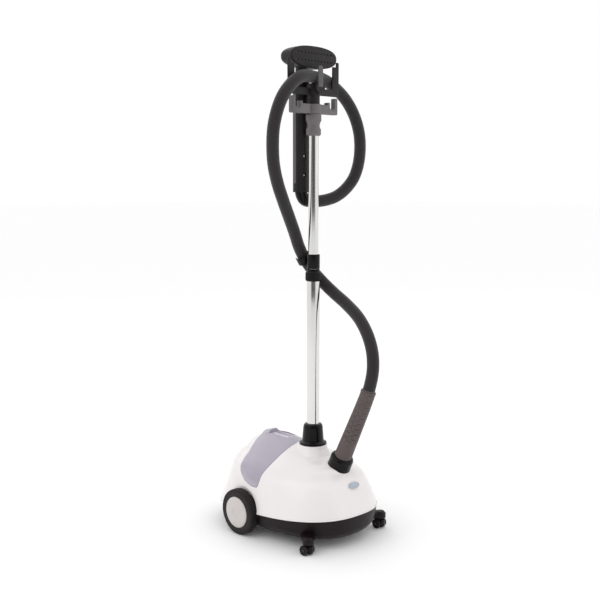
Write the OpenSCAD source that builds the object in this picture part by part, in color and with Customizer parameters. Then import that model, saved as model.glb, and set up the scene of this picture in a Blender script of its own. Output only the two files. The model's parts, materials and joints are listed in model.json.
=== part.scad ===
// Upright garment steamer: a wheeled water base with a telescopic pole,
// a steam hose and a steam head that hangs on the pole.
// Frame: millimetres, +Z up, -Y is the front, the floor is z = 0.

/* [Base] */
// Overall length of the lower pan, front to rear
base_length = 424; // [350:5:520]
// Overall width of the lower pan
base_width = 304; // [260:2:360]
// Height of the pan's underside over the floor
ground_gap = 20; // [14:1:30]
// Height of the seam between pan and shell, at the widest station
seam_height = 62; // [52:1:76]
// Height of the shell's top behind the pole
dome_height = 232; // [215:1:280]
// Wall of the pan and the shell
wall = 2.6; // [2:0.1:3.6]
// Gap between parts that fit together loosely
gap = 0.6; // [0.4:0.1:1]

/* [Wheels] */
// Radius of a rear tyre
tyre_r = 57; // [45:1:62]
// Width of a rear tyre
tyre_w = 24; // [16:1:30]
// Place of the rear axle behind the frame's origin
axle_y = 52; // [40:1:70]
// Radius of the rear axle
axle_r = 4; // [3:0.5:6]
// Radius of a caster wheel
caster_r = 12; // [9:0.5:14]
// Caster's distance from the middle plane
caster_x = 128; // [110:1:132]
// Place of the casters in front of the frame's origin
caster_y = -164; // [-176:1:-150]

/* [Pole] */
// Radius of the lower pole
lower_r = 16; // [14:0.5:18]
// Radius of the upper pole
upper_r = 12.5; // [10.5:0.5:13.5]
// Wall of both poles
pole_wall = 1.2; // [0.8:0.1:1.6]
// Height of the lower pole's top
lower_top = 640; // [560:5:700]
// Height of the upper pole's top
pole_top = 1062; // [1000:2:1110]
// Place of the pole in front of the frame's origin
pole_y = -50; // [-56:1:-46]

/* [Hose] */
// Diameter of the steam hose
hose_d = 30; // [24:1:32]
// Length of the moulded bend relief
relief_length = 190; // [140:5:200]

/* [Steam head] */
// Width of the nozzle
nozzle_w = 150; // [130:2:180]
// Height of the nozzle
nozzle_h = 52; // [44:1:60]
// Depth of the nozzle, front to rear
nozzle_d = 44; // [36:1:50]
// Width of the handle
handle_w = 44; // [36:1:46]
// Depth of the handle
handle_d = 37; // [32:1:38]
// Radius of a steam hole
steam_hole_r = 1.6; // [1:0.1:2]

/* [Hidden] */
$fn = 48;

// Plan of the base: widest station, and the lengths in front of it and behind it
widest_y = 10;
front_len = base_length / 2 + widest_y;
rear_len = base_length / 2 - widest_y;
half_w = base_width / 2;
seam_slope = 0.07;
rise = dome_height - 232;
outline_points = 40;

// Levels of the outer skin: height, centre y, half width, front and rear lengths, front and rear fullness
function shell_levels() = [
  [seam_height, widest_y, half_w, front_len, rear_len, 2.5, 3.0],
  [100, widest_y, half_w * 0.96, front_len * 0.977, rear_len * 0.936, 2.4, 2.65],
  [130 + rise * 0.3, widest_y, half_w * 0.908, front_len * 0.928, rear_len * 0.896, 2.3, 2.55],
  [155 + rise * 0.5, widest_y, half_w * 0.842, front_len * 0.878, rear_len * 0.876, 2.15, 2.5],
  [172 + rise * 0.7, widest_y, half_w * 0.71, front_len * 0.793, rear_len * 0.846, 2.05, 2.4],
  [184 + rise * 0.8, widest_y, half_w * 0.592, front_len * 0.752, rear_len * 0.777, 1.95, 2.35],
  [192 + rise * 0.8, widest_y, half_w * 0.513, front_len * 0.622, rear_len * 0.762, 1.9, 2.35],
  [199 + rise * 0.9, widest_y, half_w * 0.44, front_len * 0.455, rear_len * 0.738, 1.9, 2.35],
  [208 + rise, widest_y + 10, half_w * 0.342, front_len * 0.37, rear_len * 0.629, 1.9, 2.3],
  [215 + rise, widest_y + 24, half_w * 0.25, 68, rear_len * 0.495, 1.9, 2.2],
  [221 + rise, widest_y + 40, half_w * 0.178, 58, rear_len * 0.406, 1.9, 2.1],
  [227 + rise, widest_y + 60, half_w * 0.118, 40, 50, 2.0, 2.0],
  [dome_height, widest_y + 78, half_w * 0.08, 18, 18, 2.0, 2.0]];

// Radius of a wheel arch, and the inner plane of the arch
arch_r = tyre_r + 3;
tyre_inner_x = half_w - 9;
arch_x = tyre_inner_x - 4;
axle_z = tyre_r;
hub_r = tyre_r * 0.68;

// Tank and well, seen from the side: y against z
well_floor = 66;
rim_z = 124;
bay_top = dome_height + 60;
bay = [[6, well_floor], [64, well_floor], [76, 133], [96, 160], [110, 187], [122, 208], [122, bay_top],
  [-9, bay_top], [-9, 212], [-3, 180], [2, 140]];

// Window in the shell's sides where the tank shows, seen from the side
window = [[4.5, rim_z], [30, rim_z], [56, 131], [80, 146], [96, 160], [110, 187], [122, 208],
  [122, bay_top], [-9, bay_top], [-9, 212], [-3, 180], [2, 140]];

// Pole, socket and lock
socket_top = 274;
flange_z = 222;
flange_r = 34.5;
socket_r = 30;
pole_bottom = 150;
upper_bottom = 400;
fit = 0.05;
lock_r = 17.4;

// Hose port: the point where the hose leaves the base, and its lean to the front
port_y = pole_y - 98;
port_z = 198;
lean = 25.5;
hose_r = hose_d / 2;
collar_r = hose_r + 13.5;
collar_top = 15;

// Hose clip on the pole
clip_z = 686;
clip_tilt = -33;

// Top of the pole
rack_z = 1036;
rack_h = 23;
rack_half = 76;
rack_t = 14;
rest_r = 15;
cradle_z = 1080;
cradle_t = 4;
arm_x = nozzle_w / 2 + 2;
lip_x = nozzle_w / 2 - 11;

// Steam head
nozzle_y = pole_y + 21;
nozzle_z = 1169;
handle_x = -1;
handle_y = pole_y + 42;
handle_bottom = 850;
handle_top = 1112;
plate_t = 3;

// Boiler
boiler_r = (front_len - 130) / 2;
boiler_y = widest_y - front_len + 41 + boiler_r;
boiler_z = ground_gap + wall + 6;
boiler_h = 62;

// Valve under the tank
valve_y = 26;
seat_r = 20;

// Hose centreline from the port to the rest on the pole
riser_route = [[0, -148, 198], [0, -171, 246], [0, -195, 296], [0, -218, 344], [4, -234, 389],
  [12, -238, 434], [21, -227, 477], [29, -203, 516], [39, -166, 549], [47, -119, 576], [47, -78, 599],
  [39, -47, 624], [25, -25, 652], [8, -13, 682], [-11, -11, 714], [-32, -17, 750], [-61, -28, 790],
  [-88, -37, 829], [-113, -44, 872], [-132, -52, 915], [-143, -61, 959], [-146, -68, 1000],
  [-139, -73, 1038], [-123, -75, 1071], [-98, -75, 1098], [-68, -71, 1116], [-36, -62, 1123],
  [0, -50, 1123]];
// Hose centreline from the rest to the steam head
loop_route = [[0, -50, 1123], [36, -38, 1123], [68, -31, 1117], [99, -27, 1104], [127, -28, 1085],
  [150, -31, 1059], [167, -35, 1026], [175, -39, 990], [175, -41, 952], [167, -42, 915], [152, -40, 882],
  [129, -35, 856], [102, -29, 838], [74, -21, 829], [47, -14, 826], [24, -8, 828]];

function sgn_pow(v, p) = v == 0 ? 0 : (v > 0 ? pow(v, p) : -pow(-v, p));

// One ring of the outer skin, drawn in by inset, with the seam's slope where it is the first
function ring(level, inset, slope) = [for (i = [0:outline_points - 1])
  let (a = 360 * i / outline_points,
       fullness = sin(a) < 0 ? level[5] : level[6],
       length = (sin(a) < 0 ? level[3] : level[4]) - inset,
       x = (level[2] - inset) * sgn_pow(cos(a), 2 / fullness),
       y = level[1] + length * sgn_pow(sin(a), 2 / fullness))
  [x, y, level[0] - slope * (y - widest_y)]];

// A closed solid through a list of rings with equal numbers of points
module loft(rings) {
  n = len(rings[0]);
  m = len(rings);
  points = [for (r = rings) for (p = r) p];
  sides = [for (j = [0:m - 2]) for (i = [0:n - 1]) for (k = [0, 1])
    let (a = j * n + i, b = j * n + (i + 1) % n)
    k == 0 ? [a, a + n, b] : [b, a + n, b + n]];
  bottom = [for (i = [0:n - 1]) i];
  top = [for (i = [n - 1:-1:0]) (m - 1) * n + i];
  polyhedron(points, concat([bottom], sides, [top]));
}

// The outer skin's solid, drawn in by inset, starting drop below the seam
module skin_solid(inset, drop = 0) {
  levels = shell_levels();
  first = levels[0];
  low = [first[0] - drop, first[1], first[2], first[3], first[4], first[5], first[6]];
  last = len(levels) - 1;
  rings = [for (i = [1:last])
    let (l = levels[i])
    ring([l[0] - inset * (i > 4 ? 1 : 0.2), l[1], l[2], l[3], l[4], l[5], l[6]], inset, 0)];
  loft(concat([ring(low, inset, seam_slope)], rings));
}

// The pan's solid, drawn in by inset
module pan_solid(inset, top_drop, floor_z) {
  l = shell_levels()[0];
  loft([ring([floor_z, l[1], l[2] - 34, l[3] - 34, l[4] - 34, 2.4, 2.8], inset, 0),
    ring([floor_z + 6, l[1], l[2] - 20, l[3] - 18, l[4] - 20, 2.4, 2.8], inset, 0),
    ring([floor_z + 20, l[1], l[2] - 7, l[3] - 6, l[4] - 7, 2.45, 2.9], inset, 0),
    ring([l[0] - top_drop, l[1], l[2], l[3], l[4], l[5], l[6]], inset, seam_slope)]);
}

// Children made on both sides of the middle plane
module both_sides() {
  children();
  mirror([1, 0, 0]) children();
}

// A cylinder along X from x0 to x1
module x_rod(x0, x1, r, y, z) {
  translate([x0, y, z]) rotate([0, 90, 0]) cylinder(h = x1 - x0, r = r);
}

// A tube of round section swept along a route
function unit(v) = v / norm(v);
function tangent(path, i, first, last) = i == 0 ? first : i == len(path) - 1 ? last :
  unit(path[i + 1] - path[i - 1]);
function spline(p, i, t) =
  let (a = p[max(i - 1, 0)], b = p[i], c = p[i + 1], d = p[min(i + 2, len(p) - 1)])
  0.5 * (2 * b + (c - a) * t + (2 * a - 5 * b + 4 * c - d) * t * t + (3 * b - a - 3 * c + d) * t * t * t);
module hose(route, r) {
  sides = 12;
  fine = [for (i = [0:len(route) - 2]) for (t = [0, 0.5]) spline(route, i, t)];
  n = len(route);
  path = concat(fine, [route[n - 1]]);
  first = unit(route[1] - route[0]);
  last = unit(route[n - 1] - route[n - 2]);
  loft([for (i = [0:len(path) - 1])
    let (t = tangent(path, i, first, last), u = unit(cross(t, [0, 1, 0.02])), v = cross(u, t))
    [for (k = [0:sides - 1]) path[i] + r * (cos(360 * k / sides) * v + sin(360 * k / sides) * u)]]);
}

// Children set on the hose port's axis
module at_port() {
  translate([0, port_y, port_z]) rotate([lean, 0, 0]) children();
}

// Children set on the pole's axis
module at_pole() {
  translate([0, pole_y, 0]) children();
}

module ring_tube(r_out, r_in, z0, z1) {
  translate([0, 0, z0]) difference() {
    cylinder(h = z1 - z0, r = r_out);
    translate([0, 0, -1]) cylinder(h = z1 - z0 + 2, r = r_in);
  }
}

/* Base */
leg_top = 38;
stem_r = 4;
stem_top = 36;

// Outrigger leg that carries one caster
module caster_leg() {
  hull() {
    translate([caster_x, caster_y, leg_top - 12]) cylinder(h = 16, r = 14, $fn = 32);
    translate([caster_x - 46, caster_y + 34, leg_top - 14]) cylinder(h = 22, r = 20, $fn = 32);
  }
}

module base_pan() {
  color("#241d1f") difference() {
    union() {
      difference() {
        pan_solid(0, 0.4, ground_gap);
        difference() {
          pan_solid(wall, -6, ground_gap + wall);
          both_sides() x_rod(arch_x - wall, half_w + 20, arch_r + wall, axle_y, axle_z);
          at_pole() translate([0, 0, ground_gap]) cylinder(h = 100, r = lower_r + 5);
        }
      }
      both_sides() caster_leg();
    }
    both_sides() x_rod(arch_x, half_w + 20, arch_r, axle_y, axle_z);
    both_sides() translate([caster_x, caster_y, 0]) cylinder(h = stem_top + 1, r = stem_r + fit);
    x_rod(-half_w, half_w, axle_r + fit, axle_y, axle_z);
    translate([0, pole_y - 30, feed_z]) rotate([-90, 0, 0]) cylinder(h = 60, r = pipe_r + 0.3);
    at_pole() translate([0, 0, ground_gap + wall + 3]) cylinder(h = 100, r = lower_r + 2);
    translate([drain_x, drain_y, 0]) cylinder(h = ground_gap + 10, r = drain_r + 0.3);
    for (p = screw_places) translate([p[0], p[1], 0]) cylinder(h = ground_gap + 10, r = 2.3);
  }
}

drain_x = 0;
drain_y = -150;
drain_r = 9;
screw_places = [[-84, -92], [84, -92], [-84, 132], [84, 132]];

// A side view of (y, z) made as wide as the base, with its ends drawn in and its floor lifted
module side_prism(outline, inset, lift, lift_below) {
  y_mid = 50;
  pts = [for (p = outline) [p[0] + (p[0] < y_mid ? inset : -inset), p[1] + (p[1] < lift_below ? lift : 0)]];
  rotate([90, 0, 90]) translate([0, 0, -half_w]) linear_extrude(2 * half_w) polygon(pts);
}

module bay_prism(inset, lift) {
  side_prism(bay, inset, lift, well_floor + 1);
}

module window_prism(inset, lift) {
  side_prism(window, inset, lift, 170);
}

// Room taken by a wheel arch of the pan, grown by room
module arch_room(room) {
  x_rod(arch_x - wall - room, half_w + 20, arch_r + wall + room, axle_y, axle_z);
}

module below(z) {
  translate([-half_w - 50, -base_length, z - 400]) cube([2 * half_w + 100, 2 * base_length, 400]);
}

switch_y = rear_len + widest_y - 42;
switch_z = 150;
switch_tilt = 17;
inlet_z = 84;

// Children set on the rear wall at the switch
module at_switch() {
  translate([40, switch_y, switch_z]) rotate([-90 + switch_tilt, 0, 0]) children();
}

// Raised ring of the shell that the pole's socket stands on
module shell_boss() {
  difference() {
    at_pole() rotate_extrude() polygon([[0, 196], [flange_r + 12, 196], [flange_r + 6.5, 206],
      [flange_r + 2.5, 214], [flange_r + 1.5, flange_z - 0.2], [0, flange_z - 0.2]]);
    side_prism(bay, -3.2, 0, 0);
  }
}

module upper_shell() {
  color("#ece7e7") difference() {
    union() {
      difference() {
        skin_solid(0);
        difference() {
          skin_solid(wall, 8);
          both_sides() arch_room(0);
        }
      }
      shell_boss();
    }
    window_prism(0, 0);
    at_pole() translate([0, 0, 180]) cylinder(h = 100, r = socket_r + gap);
    at_port() translate([0, 0, -60]) cylinder(h = 120, r = collar_r + gap);
    both_sides() x_rod(arch_x, half_w + 20, arch_r, axle_y, axle_z);
    x_rod(-half_w, half_w, axle_r + 0.4, axle_y, axle_z);
    at_switch() translate([-16, -11, -12]) cube([32, 22, 40]);
    translate([-40, 150, inlet_z]) rotate([-90, 0, 0]) cylinder(h = 90, r = 9.5);
  }
}

// Tray that the tank drops into
module tank_well() {
  color("#d9d5d6") difference() {
    intersection() {
      skin_solid(wall + gap);
      bay_prism(-2.4, -2.4);
      below(dome_height - 26);
    }
    bay_prism(0, 0);
    translate([0, valve_y, 40]) cylinder(h = 40, r = 19);
    both_sides() arch_room(gap);
  }
}

lens_z = 146;
lens_y = widest_y - front_len + 21;
module indicator_lens() {
  color("#b9bdc4") translate([0, lens_y, lens_z]) rotate([66, 0, 0]) linear_extrude(3)
    polygon([for (a = [0:15:345]) [17 * cos(a), 8 * sin(a)]]);
}

module shell_screws() {
  color("silver") for (p = screw_places) translate([p[0], p[1], ground_gap - 1.6]) {
    cylinder(h = 1.4, r = 4);
    cylinder(h = 14, r = 2);
  }
}

module wheel_axle() {
  color("silver") x_rod(-half_w - 10, half_w + 10, axle_r, axle_y, axle_z);
}

module tyre() {
  color("#2d2628") translate([tyre_inner_x, axle_y, axle_z]) rotate([0, 90, 0]) rotate_extrude()
    polygon([[hub_r, 0], [tyre_r - 4, 0], [tyre_r - 1, 1.5], [tyre_r, 5], [tyre_r, tyre_w - 5],
      [tyre_r - 1, tyre_w - 1.5], [tyre_r - 4, tyre_w], [hub_r, tyre_w]]);
}

module hub() {
  color("#b5b0ad") translate([tyre_inner_x, axle_y, axle_z]) rotate([0, 90, 0]) rotate_extrude()
    polygon([[axle_r + fit, 2], [10, 2], [10, 8], [hub_r - 0.1, 8], [hub_r - 0.1, tyre_w - 2], [hub_r - 4, tyre_w - 2],
      [hub_r - 4, 12], [10, 12], [10, 17], [axle_r + fit, 17]]);
}

module hub_cap() {
  color("#cfc8c4") translate([tyre_inner_x + tyre_w - 1.8, axle_y, axle_z]) rotate([0, 90, 0])
    rotate_extrude() polygon([[0, 4.2], [hub_r * 0.4, 3.6], [hub_r * 0.72, 1.4], [hub_r - 6.5, -1], [hub_r - 6.5, -5],
      [hub_r - 4.3, -5], [hub_r - 4.3, 0], [hub_r - 0.1, 0], [hub_r - 0.3, 3], [hub_r * 0.88, 5.2], [hub_r * 0.6, 7.4], [0, 8.6]]);
}

module caster_yoke() {
  color("#231e20") translate([caster_x, caster_y, 0]) {
    translate([0, 0, 2 * caster_r - 2]) cylinder(h = stem_top - 2 * caster_r + 2, r = stem_r);
    difference() {
      translate([0, 0, 4]) cylinder(h = 2 * caster_r - 4.6, r = 12.5);
      translate([-20, caster_trail - caster_r - 1, -1]) cube([14.6, 2 * caster_r + 2, 2 * caster_r + 2]);
      translate([5.4, caster_trail - caster_r - 1, -1]) cube([14.6, 2 * caster_r + 2, 2 * caster_r + 2]);
      x_rod(-20, 20, 2.05, caster_trail, caster_r);
    }
  }
}

caster_trail = 3;
caster_half_w = 15;

module caster_axle() {
  color("silver") translate([caster_x, caster_y, 0]) x_rod(-caster_half_w + 1, caster_half_w - 1, 2, caster_trail, caster_r);
}

module caster_wheels() {
  color("#191617") translate([caster_x, caster_y, 0]) for (s = [-1, 1]) difference() {
    translate([s * 11 - 4, caster_trail, caster_r]) rotate([0, 90, 0]) rotate_extrude()
      polygon([[2.05, 0], [caster_r - 1, 0], [caster_r, 1], [caster_r, 7], [caster_r - 1, 8], [2.05, 8]]);
  }
}

module drain_plug() {
  color("#2b2527") translate([drain_x, drain_y, 0]) difference() {
    union() {
      translate([0, 0, ground_gap - 6]) cylinder(h = 5.6, r = drain_r + 4);
      translate([0, 0, ground_gap - 1]) cylinder(h = 9, r = drain_r);
    }
    translate([-1.5, -20, ground_gap - 7]) cube([3, 40, 3]);
  }
}

module cord_inlet() {
  color("#1c1a1b") translate([-40, 0, inlet_z]) rotate([-90, 0, 0]) difference() {
    union() {
      translate([0, 0, 176]) cylinder(h = 24, r = 9);
      translate([0, 0, 199]) cylinder(h = 9, r = 7);
    }
    translate([0, 0, 170]) cylinder(h = 45, r = 4);
  }
}

module switch_bezel() {
  color("#1c1a1b") at_switch() difference() {
    translate([-15, -10, -8]) cube([30, 20, 22]);
    translate([-12, -7.5, -4]) cube([24, 15, 20]);
    translate([0, 0, 9]) rotate([0, 90, 0]) translate([0, 0, -14]) cylinder(h = 28, r = 1.55);
  }
}

module switch_rocker() {
  color("#a01d1d") at_switch() {
    translate([-11.6, 0, 9]) rotate([0, 90, 0]) linear_extrude(23.2)
      polygon([[-6, 6.6], [4.2, 6.2], [5, 0], [4.2, -6.2], [-6, -6.6], [-4.4, 0]]);
    translate([0, 0, 9]) rotate([0, 90, 0]) translate([0, 0, -13.5]) cylinder(h = 27, r = 1.5);
  }
}

/* Water */
tank_gap = 1.2;
tank_wall = 2.2;
tank_half = half_w - 32;
module tank_form(inset) {
  intersection() {
    union() {
      intersection() {
        skin_solid(0.3 + inset);
        window_prism(tank_gap + inset, tank_gap + inset);
      }
      intersection() {
        skin_solid(wall + gap + 3 + inset);
        translate([-tank_half + inset, -base_length, 0]) cube([2 * (tank_half - inset), 2 * base_length, 400]);
      }
    }
    bay_prism(tank_gap + inset, 4 + inset);
  }
}

grip_y = 62;
grip_half = [19.5, 33.5];
grip_floor = dome_height - 26;
grip_bar_z = dome_height - 12;
module water_tank() {
  color("#bdb2c6") difference() {
    tank_form(0);
    tank_form(tank_wall);
    translate([-grip_half[0] - 0.5, grip_y - grip_half[1] - 0.5, grip_floor])
      cube([2 * grip_half[0] + 1, 2 * grip_half[1] + 1, 60]);
    translate([0, valve_y, 50]) cylinder(h = 40, r = 13.4);
  }
}

// Recessed pan and bar that the tank is carried by
module tank_grip() {
  color("#d7d2dc") {
    difference() {
      translate([-grip_half[0], grip_y - grip_half[1], grip_floor])
        cube([2 * grip_half[0], 2 * grip_half[1], 16]);
      translate([-grip_half[0] + 2, grip_y - grip_half[1] + 2, grip_floor + 2])
        cube([2 * grip_half[0] - 4, 2 * grip_half[1] - 4, 30]);
    }
    translate([0, grip_y - grip_half[1] + 0.5, grip_bar_z - 3.5]) rotate([-90, 0, 0])
      cylinder(h = 2 * grip_half[1] - 1, r = 5);
  }
}

module tank_cap() {
  color("#4a4650") translate([0, valve_y, 0]) difference() {
    union() {
      translate([0, 0, well_floor + 3]) cylinder(h = 13.2, r = 13.2);
      translate([0, 0, well_floor - 4]) cylinder(h = 7.8, r = 17);
    }
    translate([0, 0, well_floor - 6]) cylinder(h = 4, r = 15);
    translate([0, 0, 40]) cylinder(h = 60, r = 3.2);
    translate([0, 0, well_floor + 5]) cylinder(h = 20, r = 9);
  }
}

module valve_plunger() {
  color("silver") translate([0, valve_y, 0]) {
    translate([0, 0, well_floor - 8]) cylinder(h = 34, r = 2.4);
    translate([0, 0, well_floor + 19]) cylinder(h = 3, r = 7);
  }
}

module valve_spring() {
  color("gray") translate([0, valve_y, 0]) ring_tube(5.2, 4, well_floor + 5.2, well_floor + 18.8);
}

module valve_seat() {
  color("#cfcacc") translate([0, valve_y, 0]) difference() {
    union() {
      ring_tube(seat_r, 18, well_floor - 22, well_floor - 8);
      translate([0, 0, well_floor - 24]) cylinder(h = 4, r = seat_r);
    }
    translate([0, 0, 20]) cylinder(h = 40, r = 1);
    translate([0, 0, well_floor - 16]) rotate([90, 0, 0]) cylinder(h = 40, r = 5.2);
  }
}

module seat_seal() {
  color("#5a5560") translate([0, valve_y, 0]) ring_tube(seat_r, 18.2, well_floor - 7.8, well_floor - 4.6);
}

/* Steam */
module boiler() {
  color("#9aa0a4") translate([0, boiler_y, boiler_z]) {
    difference() {
      cylinder(h = boiler_h, r = boiler_r);
      translate([0, 0, 5]) cylinder(h = boiler_h, r = boiler_r - 5);
      translate([0, 0, feed_z - boiler_z]) rotate([-90, 0, 0]) cylinder(h = 80, r = 5.2);
      translate([0, 0, 13]) rotate([0, 90, 0]) translate([0, 0, 20]) cylinder(h = 40, r = 3.4);
      translate([0, 0, 13]) rotate([0, -90, 0]) translate([0, 0, 20]) cylinder(h = 40, r = 3.4);
    }
    for (a = [90:120:330]) rotate([0, 0, a]) translate([boiler_r - 12, 0, -5.8]) cylinder(h = 6, r = 5);
  }
}

module boiler_lid() {
  color("#b3b8bb") difference() {
    translate([0, boiler_y, boiler_z + boiler_h + 0.2]) cylinder(h = 4, r = boiler_r);
    translate([0, elbow_y, boiler_z + boiler_h - 1]) cylinder(h = 7, r = 9.1);
  }
}

heater_r = boiler_r - 12;
// A bent heating rod inside the boiler with its two terminals
module heater() {
  color("#6d6a66") translate([0, boiler_y, boiler_z + 13]) {
    difference() {
      cylinder(h = 6, r = heater_r);
      translate([0, 0, -1]) cylinder(h = 8, r = heater_r - 6);
      translate([-heater_r - 1, heater_r - 14, -1]) cube([2 * heater_r + 2, 20, 8]);
    }
    for (s = [0, 180]) rotate([0, 0, s]) translate([heater_r - 5, 0, 0]) rotate([0, 90, 0])
      cylinder(h = boiler_r - heater_r + 12, r = 3.2);
  }
}

module thermostat() {
  color("#d8d2c2") translate([-boiler_r / 2 - 1, boiler_y, boiler_z + boiler_h + 4.4]) {
    cylinder(h = 9, r = 9);
    translate([-6, -1, 8]) cube([2, 2, 8]);
    translate([4, -1, 8]) cube([2, 2, 8]);
  }
}

module thermal_fuse() {
  color("#e8e0d0") translate([boiler_r / 2 + 1, boiler_y - 14, boiler_z + boiler_h + 4.4 + 3]) rotate([-90, 0, 0]) {
    cylinder(h = 28, r = 3);
  }
}

feed_z = well_floor - 16;
pipe_r = 5;
// Pipe from the valve seat to the boiler, through the column that holds the pole
module feed_pipe() {
  pipe_y = boiler_y + boiler_r - 8;
  pipe_len = valve_y - 17 - pipe_y;
  color("#e6e2da") translate([0, pipe_y, feed_z]) rotate([-90, 0, 0]) ring_tube(pipe_r, pipe_r - 1.6, 0, pipe_len);
}

elbow_z = 150;
elbow_y = port_y + (port_z - elbow_z) * tan(lean);
module steam_pipe_form(r, over) {
  translate([0, elbow_y, boiler_z + boiler_h - 4 - over]) cylinder(h = elbow_z - boiler_z - boiler_h + 4 + over, r = r);
  translate([0, elbow_y, elbow_z]) sphere(r = r);
  translate([0, elbow_y, elbow_z]) rotate([lean, 0, 0]) cylinder(h = 20 + over, r = r);
}

module steam_pipe() {
  color("#c9c4bc") difference() {
    steam_pipe_form(9, 0);
    steam_pipe_form(7, 1);
  }
}

module port_collar() {
  color("#1b1819") at_port() rotate_extrude() polygon([[9.4, -30], [collar_r - 6, -30], [collar_r, -24],
    [collar_r, collar_top - 6], [collar_r - 2, collar_top - 2.5], [hose_r + 8.5, collar_top], [hose_r + 0.2, collar_top],
    [hose_r + 0.2, -0.2], [9.4, -0.2]]);
}

relief_rings = 24;
module bend_relief() {
  pitch = (relief_length - 8) / relief_rings;
  r0 = hose_r + 6.5;
  r1 = hose_r + 3;
  color("#655a5b") at_port() translate([0, 0, collar_top + 0.4]) rotate_extrude() polygon(concat([[hose_r + 0.2, 0]],
    [for (i = [0:relief_rings - 1]) for (k = [0:3])
      let (r = r0 + (r1 - r0) * i / relief_rings)
      [r - (k == 0 || k == 3 ? 1.4 : 0), (i + [0, 0.14, 0.66, 0.8][k]) * pitch]],
    [[r1 - 1.4, relief_length - 6], [r1 + 1.4, relief_length - 5], [r1 + 1.4, relief_length], [hose_r + 0.2, relief_length]]));
}

module hose_riser() {
  color("#3a3739") hose(riser_route, hose_r);
}

module hose_loop() {
  color("#3a3739") hose(loop_route, hose_r);
}

/* Pole */
module pole_socket() {
  color("#201d1e") at_pole() rotate_extrude() polygon([[lower_r + 0.1, pole_bottom - 6], [lower_r + 4, pole_bottom - 6],
    [lower_r + 4, 188], [socket_r, 196], [socket_r, flange_z], [flange_r - 1, flange_z], [flange_r, flange_z + 2],
    [flange_r - 0.6, flange_z + 4.6], [flange_r - 4, flange_z + 6.6], [28, flange_z + 8.5], [26.7, flange_z + 13],
    [24.5, socket_top - 8], [22.8, socket_top - 3], [20.5, socket_top], [lower_r + 0.1, socket_top]]);
}

module lower_pole() {
  color("#cfd1d4") at_pole() ring_tube(lower_r, lower_r - pole_wall, pole_bottom, lower_top);
}

// Sleeve in the lower pole's mouth that guides the upper pole
module lock_body() {
  color("#242122") at_pole() {
    ring_tube(lower_r - pole_wall - 0.1, upper_r + 0.3, lower_top - 40, lower_top + 0.2);
    ring_tube(lower_r, upper_r + 0.3, lower_top + 0.2, lower_top + 22);
  }
}

module lock_collar() {
  color("#1e1b1c") at_pole() {
    rotate_extrude() polygon([[lower_r + 0.3, lower_top - 8], [lock_r, lower_top - 8], [lock_r + 1, lower_top - 5],
      [lock_r + 1, lower_top + 12], [lock_r - 0.5, lower_top + 16], [lower_r + 0.3, lower_top + 16]]);
    for (a = [0:30:330]) rotate([0, 0, a]) translate([lock_r + 0.6, -1, lower_top - 3]) cube([1.2, 2, 13]);
  }
}

clip_x = 1;
clip_y = 34.5;
module hose_clip() {
  color("#1d1a1b") at_pole() {
    difference() {
      union() {
        ring_tube(upper_r + 3.6, upper_r + 0.35, lower_top + 22.4, clip_z + 12);
        translate([clip_x - 6, upper_r + 1.5, clip_z - 8]) cube([11, 6, 16]);
      }
      translate([clip_x, clip_y, clip_z]) rotate([0, clip_tilt, 0]) translate([0, 0, -30]) cylinder(h = 60, r = hose_r + 1.2);
    }
    translate([clip_x, clip_y, clip_z]) rotate([0, clip_tilt, 0]) difference() {
      ring_tube(hose_r + 3.6, hose_r + 1.2, -10, 10);
      rotate([0, 0, 50]) translate([0, 0, -20]) cube([60, 60, 40]);
    }
  }
}

module upper_pole() {
  color("#d6d8da") at_pole() ring_tube(upper_r, upper_r - pole_wall, upper_bottom, pole_top);
}

module top_collar() {
  z0 = rack_z - 52;
  color("#4c484a") at_pole() rotate_extrude() polygon([[upper_r + 0.1, z0], [15, z0], [18, z0 + 3], [18, z0 + 15],
    [15.5, z0 + 20], [15, z0 + 27], [17, z0 + 33], [19, z0 + 36], [19, z0 + 49], [17, z0 + 51.6], [upper_r + 0.1, z0 + 51.6]]);
}

// Flat bar with a hook notch at each end
module rack_outline() {
  difference() {
    union() {
      translate([-rack_half, 0]) square([2 * rack_half, rack_h]);
      for (s = [-1, 1]) translate([s * (rack_half - 5) - 5, 0]) square([10, rack_h + 17]);
      for (s = [-1, 1]) translate([s * (rack_half - 30) - 4, 0]) square([8, rack_h + 6]);
    }
    for (s = [-1, 1]) translate([s * (rack_half - 18), rack_h - 4]) circle(r = 8);
    for (s = [-1, 1]) translate([s * (rack_half - 18) - 8, rack_h - 4]) square([16, 30]);
  }
}

module hanger_rack() {
  color("#6c686a") at_pole() difference() {
    union() {
      translate([0, rack_t / 2, rack_z]) rotate([90, 0, 0]) linear_extrude(rack_t) rack_outline();
      translate([0, 0, rack_z]) cylinder(h = rack_h, r = 18);
    }
    translate([0, 0, rack_z - 5]) cylinder(h = rack_h + 10, r = upper_r + 0.1);
  }
}

// Cap on the pole that the hose lies over, with a finger in front of it
module hose_rest() {
  saddle = 1123 - hose_r - 0.6;
  color("#2a2729") at_pole() {
    difference() {
      union() {
        translate([0, 0, rack_z + rack_h + 0.2]) cylinder(h = saddle - rack_z - rack_h - 0.2, r = rest_r);
        translate([-6, finger_y - 1, saddle - 9]) cube([12, 10, 8]);
      }
      translate([0, 0, rack_z]) cylinder(h = pole_top - rack_z + 0.2, r = upper_r + 0.1);
    }
    translate([0, finger_y, 1098]) rotate([90, 0, 0]) cylinder(h = finger_t, r = 15);
    translate([-8, finger_y - finger_t, 1098]) cube([16, finger_t, 50]);
  }
}

finger_y = -hose_r - 4.5;
finger_t = 6;

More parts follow.
